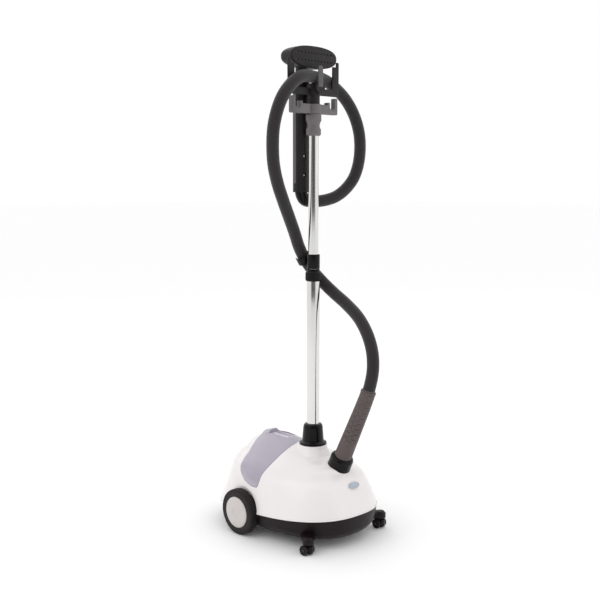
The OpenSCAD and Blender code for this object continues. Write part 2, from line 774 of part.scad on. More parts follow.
// Yoke that the nozzle lies on: lips under it and an arm beside each of its ends
module cradle_outline() {
  lip_top = nozzle_z - nozzle_h / 2 * pow(1 - pow(lip_x / (nozzle_w / 2), 2.5), 0.4) - 0.7;
  translate([-arm_x - 8, 0]) square([2 * arm_x + 16, 17]);
  for (s = [-1, 1]) {
    translate([s * (arm_x - 3.5) - 11.5, 0]) square([23, 40]);
    translate([s * (lip_x + arm_x + 8) / 2 - (arm_x + 8 - lip_x) / 2, 0]) square([arm_x + 8 - lip_x, lip_top - cradle_z]);
    translate([s * (arm_x + 4) - 4, 0]) square([8, nozzle_z - 6 - cradle_z]);
  }
}

module head_cradle() {
  color("#332f31") at_pole() difference() {
    union() {
      translate([0, cradle_t / 2, cradle_z]) rotate([90, 0, 0]) linear_extrude(cradle_t) cradle_outline();
      translate([0, 0, cradle_z]) cylinder(h = 16, r = rest_r + 2.4);
    }
    translate([0, 0, cradle_z - 5]) cylinder(h = 30, r = rest_r + 0.1);
    translate([-rest_r - 0.1, -10, cradle_z + 15.9]) cube([2 * rest_r + 0.2, 20, 40]);
  }
}

/* Steam head */
function oval(a, b, n) = [for (i = [0:n - 1]) [a * cos(360 * i / n), b * sin(360 * i / n)]];

// Full oval: a superellipse that is flatter along its long sides
function full_oval(a, b, n) = [for (i = [0:n - 1])
  [a * sgn_pow(cos(360 * i / n), 0.8), b * sgn_pow(sin(360 * i / n), 0.8)]];

neck_front = pole_y + 33;
module nozzle_body() {
  color("#373335") difference() {
    union() {
      translate([0, nozzle_y + nozzle_d / 2, nozzle_z]) rotate([90, 0, 0]) linear_extrude(nozzle_d)
        polygon(full_oval(nozzle_w / 2, nozzle_h / 2, 48));
      translate([handle_x - 15, neck_front, handle_top + 0.3]) cube([30, handle_y + 14 - neck_front, nozzle_z - handle_top]);
    }
    translate([0, nozzle_y + nozzle_d / 2 - 4, nozzle_z]) rotate([90, 0, 0]) linear_extrude(nozzle_d)
      polygon(full_oval(nozzle_w / 2 - 3.5, nozzle_h / 2 - 3.5, 48));
    translate([handle_x, handle_y, handle_top - 5]) cylinder(h = nozzle_z - handle_top, r = 7);
  }
}

module steam_plate() {
  color("#4b4749") difference() {
    translate([0, nozzle_y - nozzle_d / 2 - 0.1, nozzle_z]) rotate([90, 0, 0]) linear_extrude(plate_t)
      polygon(full_oval(nozzle_w / 2 - 1, nozzle_h / 2 - 1, 48));
    for (row = [-1, 1]) for (i = [-5:5])
      translate([i * nozzle_w / 14, nozzle_y - nozzle_d / 2 + 5, nozzle_z + row * 9]) rotate([90, 0, 0])
        cylinder(h = 20, r = steam_hole_r, $fn = 24);
  }
}

// Half of the handle's oval section: front is -1, rear is 1
module handle_half(side) {
  intersection() {
    polygon(oval(handle_w / 2, handle_d / 2, 40));
    translate([-30, side < 0 ? -40 : 0.1]) square([60, side < 0 ? 39.9 : 40]);
  }
}

module handle_shell(side) {
  translate([handle_x, handle_y, 0]) difference() {
    translate([0, 0, handle_bottom]) linear_extrude(handle_top - handle_bottom) handle_half(side);
    translate([0, 0, handle_bottom - 1]) cylinder(h = handle_top - handle_bottom - 12, r = 12);
    translate([0, 0, handle_bottom - 1]) cylinder(h = handle_top - handle_bottom + 12, r = 8);
    for (z = screw_heights) translate([screw_x, -40, z]) rotate([-90, 0, 0]) {
      cylinder(h = 45, r = 2.2);
      cylinder(h = 26.6, r = 4.2);
    }
  }
}

screw_x = -5;
screw_heights = [handle_bottom + 40, handle_bottom + 86, handle_bottom + 200];

module handle_front() {
  color("#2e2b2d") handle_shell(-1);
}

module handle_back() {
  color("#3a3638") handle_shell(1);
}

module handle_screws() {
  color("#8f8c8e") translate([handle_x, handle_y, 0]) for (z = screw_heights) {
    translate([screw_x, -15.6, z]) rotate([-90, 0, 0]) cylinder(h = 2.1, r = 4);
  }
}

// Elbow that joins the hose to the handle
module hose_ferrule() {
  e = loop_route[len(loop_route) - 1];
  d = loop_route[len(loop_route) - 2];
  color("#242123") hull() {
    translate([handle_x, handle_y, handle_bottom - 2.4]) cylinder(h = 2, r = 15, $fn = 32);
    translate([e[0], e[1], e[2]]) rotate([0, -90 + atan2(e[2] - d[2], d[0] - e[0]), 0])
      translate([0, 0, 0.4]) cylinder(h = 3, r = hose_r + 1.5, $fn = 32);
  }
}

base_pan();
upper_shell();
tank_well();
indicator_lens();
shell_screws();
wheel_axle();
mirror([1, 0, 0]) tyre();  // tyre_left
tyre();  // tyre_right
mirror([1, 0, 0]) hub();  // hub_left
hub();  // hub_right
mirror([1, 0, 0]) hub_cap();  // hub_cap_left
hub_cap();  // hub_cap_right
mirror([1, 0, 0]) caster_yoke();  // caster_yoke_left
caster_yoke();  // caster_yoke_right
mirror([1, 0, 0]) caster_axle();  // caster_axle_left
caster_axle();  // caster_axle_right
mirror([1, 0, 0]) caster_wheels();  // caster_wheels_left
caster_wheels();  // caster_wheels_right
drain_plug();
cord_inlet();
switch_bezel();
switch_rocker();
water_tank();
tank_grip();
tank_cap();
valve_plunger();
valve_spring();
valve_seat();
seat_seal();
boiler();
boiler_lid();
heater();
thermostat();
thermal_fuse();
feed_pipe();
steam_pipe();
port_collar();
bend_relief();
hose_riser();
hose_loop();
pole_socket();
lower_pole();
lock_body();
lock_collar();
hose_clip();
upper_pole();
top_collar();
hanger_rack();
hose_rest();
head_cradle();
nozzle_body();
steam_plate();
handle_front();
handle_back();
handle_screws();
hose_ferrule();
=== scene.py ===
"""Upright garment steamer: the visual model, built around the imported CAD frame.

Lengths in the helpers are millimetres in the row frame (x right, y to the rear, z up); MM turns
them into metres.
"""
import json
import math

import bmesh
import bpy
from mathutils import Matrix, Vector


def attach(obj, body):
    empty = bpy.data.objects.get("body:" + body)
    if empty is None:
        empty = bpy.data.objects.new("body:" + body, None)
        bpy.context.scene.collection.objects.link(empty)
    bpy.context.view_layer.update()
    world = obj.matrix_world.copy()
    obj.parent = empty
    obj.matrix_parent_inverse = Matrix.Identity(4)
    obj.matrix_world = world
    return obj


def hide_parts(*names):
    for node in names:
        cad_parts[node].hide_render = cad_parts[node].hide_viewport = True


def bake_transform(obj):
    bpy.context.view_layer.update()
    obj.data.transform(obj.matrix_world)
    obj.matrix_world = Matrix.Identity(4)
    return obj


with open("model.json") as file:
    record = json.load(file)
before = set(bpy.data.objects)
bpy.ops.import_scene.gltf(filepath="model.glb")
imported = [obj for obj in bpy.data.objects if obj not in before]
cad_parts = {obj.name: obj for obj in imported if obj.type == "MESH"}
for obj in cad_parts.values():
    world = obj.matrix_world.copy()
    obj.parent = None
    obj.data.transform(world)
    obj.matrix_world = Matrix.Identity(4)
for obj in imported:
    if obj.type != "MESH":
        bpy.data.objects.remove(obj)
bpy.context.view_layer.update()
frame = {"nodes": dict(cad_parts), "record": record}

MM = 0.001
POLE_Y = -50.0


# ---------------------------------------------------------------- camera
def make_camera():
    """Camera at the front left, a little above the middle of the steamer, looking slightly down."""
    distance, height, lens, pitch, azimuth, toe = 2.3018, 0.874, 56.43, 7.162, 44.554, 0.814
    turn = math.radians(azimuth)
    data = bpy.data.cameras.new("camera")
    data.lens, data.sensor_width, data.clip_end = lens, 36.0, 50.0
    camera = bpy.data.objects.new("camera", data)
    camera.location = (-math.sin(turn) * distance, -math.cos(turn) * distance + POLE_Y * MM, height)
    camera.rotation_euler = (math.radians(90 - pitch), 0, -math.radians(azimuth - toe))
    bpy.context.collection.objects.link(camera)
    bpy.context.scene.camera = camera


make_camera()


# ---------------------------------------------------------------- materials
class Nodes:
    """A short hand for wiring a material's nodes."""

    def __init__(self, material):
        self.tree = material.node_tree
        self.tree.nodes.clear()

    def add(self, kind, values=(), **settings):
        node = self.tree.nodes.new("ShaderNode" + kind)
        for key, value in settings.items():
            setattr(node, key, value)
        for socket, value in dict(values).items():
            if isinstance(value, bpy.types.NodeSocket):
                self.tree.links.new(value, node.inputs[socket])
            else:
                node.inputs[socket].default_value = value
        return node

    def math(self, operation, a, b=0.0, c=0.0):
        return self.add("Math", {0: a, 1: b, 2: c}, operation=operation).outputs[0]

    def between(self, value, low, high, out_low, out_high):
        ramp = {"Value": value, "From Min": low, "From Max": high, "To Min": out_low, "To Max": out_high}
        return self.add("MapRange", ramp).outputs["Result"]

    def noise(self, where, scale, detail=3.0, rough=0.55):
        values = {"Vector": where, "Scale": scale, "Detail": detail, "Roughness": rough}
        return self.add("TexNoise", values).outputs["Fac"]

    def mix(self, share, a, b):
        return self.add("Mix", {0: share, 6: a, 7: b}, data_type="RGBA").outputs[2]

    def surface(self, values, shader=()):
        values.update({key.replace("_", " "): value for key, value in dict(shader).items()})
        shading = self.add("BsdfPrincipled", values)
        self.add("OutputMaterial", {"Surface": shading.outputs[0]})


def rgba(color, gain=1.0):
    """The colour times gain, with full alpha."""
    return tuple(min(c * gain, 1.0) for c in color) + (1.0,)


def finish_material(name, build):
    """A new material with the nodes that build makes."""
    material = bpy.data.materials.new(name)
    material.use_nodes = True
    build(Nodes(material))
    return material


def moulded(name, color, rough, grain=700.0, bump=0.08, variation=0.05, drift=0.06, wear=0.0,
            depth=0.0002, **shader):
    """Moulded plastic, rubber or cast metal: grain, cloudy colour, uneven gloss, paler worn edges."""

    def build(n):
        where = n.add("TexCoord").outputs["Object"]
        cloud = n.noise(where, 22.0, 4.0)
        grain_height = n.noise(where, grain, 2.0)
        tint = n.mix(n.between(cloud, 0.3, 0.7, 0.0, 1.0), rgba(color, 1 - variation),
                     rgba(color, 1 + variation))
        if wear:
            edge = n.add("NewGeometry").outputs["Pointiness"]
            worn = n.math("MULTIPLY", n.between(edge, 0.53, 0.62, 0.0, wear), cloud)
            tint = n.mix(worn, tint, rgba([c + 0.25 for c in color]))
        rubbed = n.noise(where, 60.0, 5.0, 0.7)
        gloss = n.between(rubbed, 0.3, 0.7, max(rough - drift, 0.03), rough + drift)
        ripple = n.add("Bump", {"Strength": bump, "Distance": depth, "Height": grain_height})
        values = {"Base Color": tint, "Roughness": gloss, "Normal": ripple.outputs[0]}
        n.surface(values, shader)

    return finish_material(name, build)


def drawn_metal(name, color, rough, **shader):
    """Polished or drawn metal: fine lines along the length and a little uneven gloss."""

    def build(n):
        where = n.add("TexCoord").outputs["Object"]
        lines = n.add("Mapping", {"Vector": where, "Scale": (1.0, 1.0, 0.02)}).outputs[0]
        streaks = n.noise(lines, 900.0, 2.0)
        smudge = n.noise(where, 14.0, 5.0, 0.65)
        gloss = n.between(smudge, 0.35, 0.75, rough, rough + 0.07)
        tint = n.mix(n.between(smudge, 0.3, 0.7, 0.0, 1.0), rgba(color, 0.96), rgba(color, 1.03))
        ripple = n.add("Bump", {"Strength": 0.06, "Distance": 0.0001, "Height": streaks})
        values = {"Base Color": tint, "Roughness": gloss, "Normal": ripple.outputs[0],
                  "Metallic": 1.0}
        n.surface(values, shader)

    return finish_material(name, build)


def braided(name, color, around=30.0, pitch=0.0058):
    """Braided cloth sleeve: two sets of yarns cross round the tube. UV is turns, then metres."""

    def build(n):
        uv = n.add("SeparateXYZ", {0: n.add("TexCoord").outputs["UV"]})
        turn = n.math("MULTIPLY", uv.outputs[0], around * 2 * math.pi)
        along = n.math("MULTIPLY", uv.outputs[1], 2 * math.pi / pitch)
        left = n.math("SINE", n.math("ADD", turn, along))
        right = n.math("SINE", n.math("SUBTRACT", turn, along))
        yarn = n.math("MULTIPLY", left, right)
        where = n.add("TexCoord").outputs["Object"]
        fuzz = n.noise(where, 1600.0, 3.0)
        cloud = n.noise(where, 16.0, 4.0)
        height = n.math("MULTIPLY_ADD", fuzz, 0.5, yarn)
        deep = n.mix(n.between(yarn, -1.0, 1.0, 0.0, 1.0), rgba(color, 0.72), rgba(color, 1.25))
        tint = n.mix(n.between(cloud, 0.35, 0.7, 0.0, 0.6), deep, rgba([c * 1.3 for c in color]))
        gloss = n.between(fuzz, 0.3, 0.7, 0.5, 0.7)
        ripple = n.add("Bump", {"Strength": 0.55, "Distance": 0.0005, "Height": height})
        n.surface({"Base Color": tint, "Roughness": gloss, "Normal": ripple.outputs[0],
                   "Sheen Weight": 0.3, "Sheen Roughness": 0.35, "Specular IOR Level": 0.3})

    return finish_material(name, build)


MATERIALS = {
    "pan_plastic": moulded("pan_plastic", (0.0072, 0.0033, 0.0042), 0.42, grain=1300, bump=0.22,
                           wear=0.12, Specular_IOR_Level=0.22),
    "shell_plastic": moulded("shell_plastic", (0.80, 0.76, 0.762), 0.17, grain=420, bump=0.025,
                             variation=0.012, drift=0.04, Coat_Weight=0.3, Coat_Roughness=0.08),
    "well_plastic": moulded("well_plastic", (0.72, 0.69, 0.70), 0.32, grain=420, bump=0.05,
                            variation=0.02),
    "lens": moulded("lens", (0.36, 0.40, 0.47), 0.10, grain=500, bump=0.02, variation=0.05,
                    Coat_Weight=1.0, Coat_Roughness=0.04),
    "bright_steel": drawn_metal("bright_steel", (0.45, 0.45, 0.45), 0.24),
    "tyre_rubber": moulded("tyre_rubber", (0.0105, 0.0068, 0.0076), 0.66, grain=1500, bump=0.35,
                           variation=0.16, wear=0.12, Specular_IOR_Level=0.3),
    "hub_plastic": moulded("hub_plastic", (0.34, 0.315, 0.30), 0.42, grain=900, bump=0.12),
    "cap_plastic": moulded("cap_plastic", (0.56, 0.52, 0.505), 0.34, grain=900, bump=0.10,
                           variation=0.03, Coat_Weight=0.25, Coat_Roughness=0.2),
    "black_plastic": moulded("black_plastic", (0.0022, 0.0019, 0.0020), 0.22, grain=700, bump=0.05,
                             variation=0.15, wear=0.08, Specular_IOR_Level=0.2),
    "tank_plastic": moulded("tank_plastic", (0.66, 0.61, 0.725), 0.12, grain=300, bump=0.03,
                            variation=0.02, drift=0.04, Transmission_Weight=0.5, IOR=1.36,
                            Coat_Weight=0.6, Coat_Roughness=0.05),
    "grip_plastic": moulded("grip_plastic", (0.64, 0.61, 0.67), 0.22, grain=500, bump=0.05,
                            variation=0.02),
    "grey_plastic": moulded("grey_plastic", (0.135, 0.124, 0.129), 0.42, grain=1100, bump=0.20,
                            variation=0.08, wear=0.15, Specular_IOR_Level=0.35),
    "seal_rubber": moulded("seal_rubber", (0.030, 0.027, 0.028), 0.60, grain=1200, bump=0.25),
    "cast_alloy": moulded("cast_alloy", (0.50, 0.51, 0.52), 0.38, grain=500, bump=0.45,
                          variation=0.08, Metallic=1.0),
    "ceramic": moulded("ceramic", (0.70, 0.65, 0.53), 0.45, grain=800, bump=0.15),
    "silicone_tube": moulded("silicone_tube", (0.68, 0.64, 0.58), 0.42, grain=600, bump=0.10),
    "hose_cloth": braided("hose_cloth", (0.0175, 0.0148, 0.0155)),
    "relief_rubber": moulded("relief_rubber", (0.092, 0.071, 0.069), 0.52, grain=1300, bump=0.30,
                             variation=0.10, wear=0.35, Specular_IOR_Level=0.35),
    "chrome_tube": drawn_metal("chrome_tube", (0.74, 0.73, 0.72), 0.08),
    "switch_red": moulded("switch_red", (0.30, 0.012, 0.012), 0.22, grain=600, bump=0.05),
    "head_plastic": moulded("head_plastic", (0.0115, 0.0092, 0.0100), 0.48, grain=1000, bump=0.45,
                            variation=0.14, wear=0.18, Specular_IOR_Level=0.3),
    "handle_plastic": moulded("handle_plastic", (0.0115, 0.0094, 0.0102), 0.44, grain=1200,
                              bump=0.25, variation=0.10, wear=0.18, Specular_IOR_Level=0.3),
    # strip_rubber also colours the painted highlight strip on the handle's lit left side.
    "strip_rubber": moulded("strip_rubber", (0.085, 0.076, 0.079), 0.50, grain=1300, bump=0.30),
}
SLOTS = {part["node"]: part["material_slot"] for part in frame["record"]["subparts"]}


# ---------------------------------------------------------------- mesh helpers
def sgn_pow(v, p):
    """A power that keeps the sign."""
    return math.copysign(abs(v) ** p, v)


def catmull(a, b, c, d, t):
    """The point at t between b and c on a smooth line through a, b, c and d, number by number."""
    return [0.5 * (2 * q + (r - p) * t + (2 * p - 5 * q + 4 * r - s) * t * t
                   + (3 * q - p - 3 * r + s) * t ** 3) for p, q, r, s in zip(a, b, c, d)]


def smooth_line(points, steps, closed=False):
    """A smooth line through points, with steps pieces between each pair."""
    n = len(points)
    pick = (lambda i: points[i % n]) if closed else (lambda i: points[min(max(i, 0), n - 1)])
    line = [catmull(pick(i - 1), pick(i), pick(i + 1), pick(i + 2), k / steps)
            for i in range(n if closed else n - 1) for k in range(steps)]
    return line if closed else line + [list(points[-1])]


def rounded(points, radius, steps=5, closed=True):
    """A line with each corner rounded; a point may bring its own radius as a third number."""
    out = []
    n = len(points)
    for i, point in enumerate(points):
        if not closed and i in (0, n - 1):
            out.append(list(point[:2]))
            continue
        v, p, q = (Vector(points[j % n][:2]) for j in (i, i - 1, i + 1))
        before, after = p - v, q - v
        r = point[2] if len(point) > 2 else radius
        half = before.angle(after, math.pi) / 2 if before.length and after.length else math.pi / 2
        if r <= 0 or half > 1.5:
            out.append(list(v))
            continue
        reach = min(r / math.tan(half), 0.48 * before.length, 0.48 * after.length)
        a, b = v + before.normalized() * reach, v + after.normalized() * reach
        for k in range(steps + 1):
            t = k / steps
            out.append(list(a * (1 - t) ** 2 + v * (2 * t * (1 - t)) + b * t * t))
    return out


def rings_mesh(rings, around=True, ends=True, loop=False):
    """Faces through rings of equal length: around closes each ring, loop joins the last to the
    first, and ends puts a face on the first and the last."""
    n, verts, faces = len(rings[0]), [p for ring in rings for p in ring], []
    for j in range(len(rings) if loop else len(rings) - 1):
        k = (j + 1) % len(rings)
        for i in range(n if around else n - 1):
            m = (i + 1) % n
            faces.append((j * n + i, j * n + m, k * n + m, k * n + i))
    if ends and not loop:
        faces += [tuple(range(n - 1, -1, -1)), tuple(range((len(rings) - 1) * n, len(rings) * n))]
    return verts, faces


def make_mesh(name, verts, faces, matrix=None):
    """An object from millimetres, welded and with its faces turned outwards."""
    bm = bmesh.new()
    points = [bm.verts.new((matrix @ Vector(v) if matrix else Vector(v)) * MM) for v in verts]
    for face in faces:
        if len(set(face)) > 2:
            try:
                bm.faces.new([points[i] for i in face])
            except ValueError:  # the same face twice
                pass
    bmesh.ops.remove_doubles(bm, verts=bm.verts, dist=1e-6)
    bmesh.ops.recalc_face_normals(bm, faces=bm.faces)
    mesh = bpy.data.meshes.new(name)
    bm.to_mesh(mesh)
    bm.free()
    piece = bpy.data.objects.new(name, mesh)
    bpy.context.collection.objects.link(piece)
    return piece


def shade(piece, angle=35.0):
    """Smooth shading, with edges sharper than angle left hard."""
    mesh = piece.data
    mesh.polygons.foreach_set("use_smooth", [True] * len(mesh.polygons))
    mesh.set_sharp_from_angle(angle=math.radians(angle))
    return piece


def apply_modifiers(piece):
    """Puts the modifiers into the mesh."""
    bpy.context.view_layer.update()
    shaped = piece.evaluated_get(bpy.context.evaluated_depsgraph_get())
    mesh = bpy.data.meshes.new_from_object(shaped)
    piece.modifiers.clear()
    old, piece.data = piece.data, mesh
    bpy.data.meshes.remove(old)
    return piece


def cut(piece, *tools, operation="DIFFERENCE"):
    """Cuts the tools from piece, or keeps what they share, and removes the tools."""
    for tool in tools:
        modifier = piece.modifiers.new("cut", "BOOLEAN")
        modifier.operation, modifier.object, modifier.solver = operation, tool, "EXACT"
        apply_modifiers(piece)
        mesh = tool.data
        bpy.data.objects.remove(tool)
        bpy.data.meshes.remove(mesh)
    return piece


def soften(piece, width, segments=2, angle=40.0):
    """Rounds the edges that are sharper than angle."""
    modifier = piece.modifiers.new("soften", "BEVEL")
    modifier.width, modifier.segments = width * MM, segments
    modifier.limit_method, modifier.angle_limit = "ANGLE", math.radians(angle)
    modifier.harden_normals = False
    return apply_modifiers(piece)


def adopt(piece, body, material, nodes=()):
    """Gives the piece its material and body, and hides the CAD nodes that it stands for."""
    piece.data.materials.clear()
    piece.data.materials.append(MATERIALS[material])
    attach(piece, body)
    if nodes:
        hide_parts(*nodes)
    return piece


def lathe(name, profile, matrix=None, sides=96, closed=True):
    """Turns a profile of (radius, z) round Z."""
    rings = [[(r * math.cos(a), r * math.sin(a), z) for r, z in profile]
             for a in (2 * math.pi * i / sides for i in range(sides))]
    verts, faces = rings_mesh(rings, around=closed, ends=False, loop=True)
    return shade(make_mesh(name, verts, faces, matrix))


def slab(name, outline, thickness, edge, matrix=None, holes=()):
    """A flat plate cut to an outline in X and Y, centred in Z, with its edges rounded."""
    curve = bpy.data.curves.new(name, "CURVE")
    curve.dimensions, curve.fill_mode = "2D", "BOTH"
    curve.extrude, curve.bevel_depth = thickness / 2 - edge, edge
    curve.bevel_resolution, curve.offset = 2, -edge
    for line in (outline, *holes):
        spline = curve.splines.new("POLY")
        spline.points.add(len(line) - 1)
        for point, (x, y) in zip(spline.points, line):
            point.co = (x, y, 0, 1)
        spline.use_cyclic_u = True
    rough = bpy.data.objects.new(name, curve)
    bpy.context.collection.objects.link(rough)
    bpy.context.view_layer.update()
    flat = bpy.data.meshes.new_from_object(
        rough.evaluated_get(bpy.context.evaluated_depsgraph_get()))
    verts = [tuple(v.co) for v in flat.vertices]
    faces = [tuple(f.vertices) for f in flat.polygons]
    bpy.data.objects.remove(rough)
    bpy.data.curves.remove(curve)
    bpy.data.meshes.remove(flat)
    return shade(make_mesh(name, verts, faces, matrix))


def rod(name, start, end, radius, edge=0.4, sides=48, hole=0.0):
    """A round rod or tube from start to end, with its ends rounded."""
    axis = Vector(end) - Vector(start)
    turn = axis.to_track_quat("Z", "Y").to_matrix().to_4x4()
    profile = [(hole, 0, 0), (radius, 0), (radius, axis.length), (hole, axis.length, 0)]
    line = rounded(profile, edge, 4, closed=hole > 0)
    return lathe(name, line, Matrix.Translation(start) @ turn, sides, closed=hole > 0)


def at(x, y, z, rx=0.0, ry=0.0, rz=0.0):
    """A place, turned by degrees about X, then Y, then Z."""
    turn = (Matrix.Rotation(math.radians(rz), 4, "Z") @ Matrix.Rotation(math.radians(ry), 4, "Y")
            @ Matrix.Rotation(math.radians(rx), 4, "X"))
    return Matrix.Translation((x, y, z)) @ turn


FRONT = at(0, 0, 0, rx=90)      # a flat outline's Y turns up, and it faces the front


# ---------------------------------------------------------------- hose
RISER = [(0, -148, 198), (0, -171, 246), (0, -195, 296), (0, -218, 344), (4, -234, 389),
         (12, -238, 434), (21, -227, 477), (29, -203, 516), (39, -166, 549), (47, -119, 576),
         (47, -78, 599), (39, -47, 624), (25, -25, 652), (8, -13, 682), (-11, -11, 714),
         (-32, -17, 750), (-61, -28, 790), (-88, -37, 829), (-113, -44, 872), (-132, -52, 915),
         (-143, -61, 959), (-146, -68, 1000), (-139, -73, 1038), (-123, -75, 1071),
         (-98, -75, 1098), (-68, -71, 1116), (-36, -62, 1123), (0, -50, 1123)]
LOOP = [(0, -50, 1123), (36, -38, 1123), (68, -31, 1117), (99, -27, 1104), (127, -28, 1085),
        (150, -31, 1059), (167, -35, 1026), (175, -39, 990), (175, -41, 952), (167, -42, 915),
        (152, -40, 882), (129, -35, 856), (102, -29, 838), (74, -21, 829), (47, -14, 826),
        (24, -8, 828)]
HOSE_R = 15.0


def path_frames(line):
    """A centre, a side and an up direction at each point, turned as little as possible."""
    line = [Vector(p) for p in line]
    frames, side = [], Vector((1, 0, 0))
    for i, p in enumerate(line):
        ahead = (line[min(i + 1, len(line) - 1)] - line[max(i - 1, 0)]).normalized()
        side = (side - ahead * side.dot(ahead)).normalized()
        frames.append((p, side.copy(), ahead.cross(side)))
    return frames


def sweep(name, line, radius, sides=32, ends=True):
    """A tube along line; radius is a number or a function of the length and the angle."""
    reach = radius if callable(radius) else (lambda s, a: radius)
    frames, s, rings, lengths = path_frames(line), 0.0, [], []
    for i, (p, side, up) in enumerate(frames):
        s += (p - frames[i - 1][0]).length if i else 0.0
        lengths.append(s)
        angles = [2 * math.pi * k / sides for k in range(sides)]
        rings.append([p + (side * math.cos(a) + up * math.sin(a)) * reach(s, a) for a in angles])
    verts, faces = rings_mesh(rings, ends=ends)
    piece = make_mesh(name, verts, faces)
    layer = piece.data.uv_layers.new(name="UVMap")
    for face in piece.data.polygons:
        turns = [piece.data.loops[k].vertex_index % sides / sides for k in face.loop_indices]
        wrap = max(turns) - min(turns) > 0.5
        for k, turn in zip(face.loop_indices, turns):
            ring = piece.data.loops[k].vertex_index // sides
            turn = turn + 1 if wrap and turn < 0.5 else turn
            layer.data[k].uv = (turn, lengths[min(ring, len(lengths) - 1)] * MM)
    return shade(piece, 60)


def add_hose():
    """The woven hose in two runs: base to the rest on the pole, and rest to the steam head."""
    riser_line, loop_line = smooth_line(RISER, 6), smooth_line(LOOP, 6)
    pieces = []
    for name, line in (("hose_run", riser_line), ("hose_bight", loop_line)):
        piece = sweep(name, line, HOSE_R - 0.15)
        piece.data.materials.append(MATERIALS["hose_cloth"])
        pieces.append((piece, [[c * MM for c in p] for p in line]))
    (run, run_path), (bight, bight_path) = pieces
    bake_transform(run)
    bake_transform(bight)
    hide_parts("hose_riser")
    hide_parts("hose_loop")
    relief = add_bend_relief()


RELIEF_START, RELIEF_LENGTH = 15.4, 190.0
RELIEF_SMOOTH, RELIEF_PITCH, RELIEF_BRIDGES = 52.0, 7.6, 6
RELIEF_END = 5.0                    # the plain ring at the far end
RELIEF_STEP = 0.8


def relief_radius(s, a):
    """The sleeve's radius at length s and angle a: a smooth cone, then rings with staggered
    bridges, then a plain ring."""
    share = min(max((s - RELIEF_START) / RELIEF_LENGTH, 0.0), 1.0)
    if s < RELIEF_START or s > RELIEF_START + RELIEF_LENGTH:
        return HOSE_R + 0.3
    base = HOSE_R + 6.5 - 3.7 * share
    if s > RELIEF_START + RELIEF_LENGTH - RELIEF_END:
        return base + 0.7
    if s < RELIEF_START + RELIEF_SMOOTH:
        return base
    rows = (s - RELIEF_START - RELIEF_SMOOTH) / RELIEF_PITCH
    groove = min(max((0.24 - abs(rows % 1.0 - 0.5)) / 0.06, 0.0), 1.0)
    spot = (a / (2 * math.pi) * RELIEF_BRIDGES + 0.5 * (int(rows) % 2)) % 1.0
    bridge = min(max((0.15 - min(spot, 1 - spot)) / 0.04, 0.0), 1.0)
    return base - (1.9 - 0.6 * share) * groove * (1 - bridge)


def even_line(line, step, reach):
    """Points along line at equal steps, from its start to about reach."""
    stations = [(0.0, Vector(line[0]))]
    for p, q in zip(line, line[1:]):
        length = stations[-1][0] + math.dist(p, q)
        if length > reach:
            break
        stations.append((length, Vector(q)))
    points, k = [], 0
    for i in range(int(stations[-1][0] / step)):
        s = i * step
        while stations[k + 1][0] < s:
            k += 1
        (s0, p0), (s1, p1) = stations[k], stations[k + 1]
        points.append(p0.lerp(p1, (s - s0) / (s1 - s0)))
    return points


def add_bend_relief():
    """Moulded sleeve round the first part of the hose."""
    line = even_line(smooth_line(RISER, 24), RELIEF_STEP, RELIEF_START + RELIEF_LENGTH + 6)
    piece = sweep("bend_sleeve", line, relief_radius, sides=96, ends=False)
    adopt(piece, "base", "relief_rubber", ["bend_relief"])
    return [piece]


add_hose()


# ---------------------------------------------------------------- base
WIDEST_Y = 10.0
SEAM_SLOPE = 0.07
SEAM_Z, SEAM_FADE = 62.0, 38.0      # the slope is gone SEAM_FADE above the seam
# height, centre y, half width, front and rear lengths, front and rear fullness
LEVELS = [(62, 10, 152, 222, 202, 2.5, 3.0), (100, 10, 146, 217, 189, 2.4, 2.65),
          (130, 10, 138, 206, 181, 2.3, 2.55), (155, 10, 128, 195, 177, 2.15, 2.5),
          (172, 10, 108, 176, 171, 2.05, 2.4), (184, 10, 90, 167, 157, 1.95, 2.35),
          (192, 10, 78, 138, 154, 1.9, 2.35), (199, 10, 67, 101, 149, 1.9, 2.35),
          (208, 20, 52, 82, 127, 1.9, 2.3), (215, 34, 38, 68, 100, 1.9, 2.2),
          (221, 50, 27, 58, 82, 1.9, 2.1), (227, 70, 18, 40, 50, 2.0, 2.0),
          (232, 88, 12, 18, 18, 2.0, 2.0)]
PAN = [(20, 10, 118, 188, 168, 2.4, 2.8), (26, 10, 132, 204, 182, 2.4, 2.8),
       (40, 10, 145, 216, 195, 2.45, 2.9), (62, 10, 152, 222, 202, 2.5, 3.0)]
WALL = 2.6
ARCH_R, ARCH_X, AXLE_Y, AXLE_Z = 60.0, 139.0, 52.0, 57.0
# side views of the tank's bay and of the window that shows it: y, z, corner radius
REAR_EDGE = [(96, 160, 30), (110, 187, 30), (122, 208, 14), (122, 300, 0)]
FRONT_EDGE = [(-9, 300, 0), (-9, 212, 20), (-3, 180, 30), (2, 140, 20)]
BAY = FRONT_EDGE + [(6, 66, 6), (64, 66, 6), (76, 133, 20)] + REAR_EDGE
WINDOW = FRONT_EDGE + [(4.5, 124, 10), (30, 124, 16), (56, 131, 20), (80, 146, 22)] + REAR_EDGE
# the rocker switch and the hose port: a point on the axis, and the axis's turn about X
SWITCH, SWITCH_TILT = (40, 170, 150), -73
PORT, PORT_LEAN = (0, POLE_Y - 98, 198), 25.5
TOP_Z, TOP_BLEND, SIDE_SHARE = 165.0, 12.0, 0.2     # where an inset turns into a full drop


def skin_ring(level, inset, slope=0.0, points=144, grow=0.0):
    """One level of the dome or the pan: a superellipse, sloped along Y."""
    z, yc, half, front, rear, n_front, n_rear = level
    ring = []
    for i in range(points):
        a = 2 * math.pi * i / points
        ahead = math.sin(a) < 0
        n, length = (n_front, front) if ahead else (n_rear, rear)
        y = yc + (length - inset + grow) * sgn_pow(math.sin(a), 2 / n)
        x = (half - inset + grow) * sgn_pow(math.cos(a), 2 / n)
        ring.append((x, y, z - slope * (y - WIDEST_Y)))
    return ring


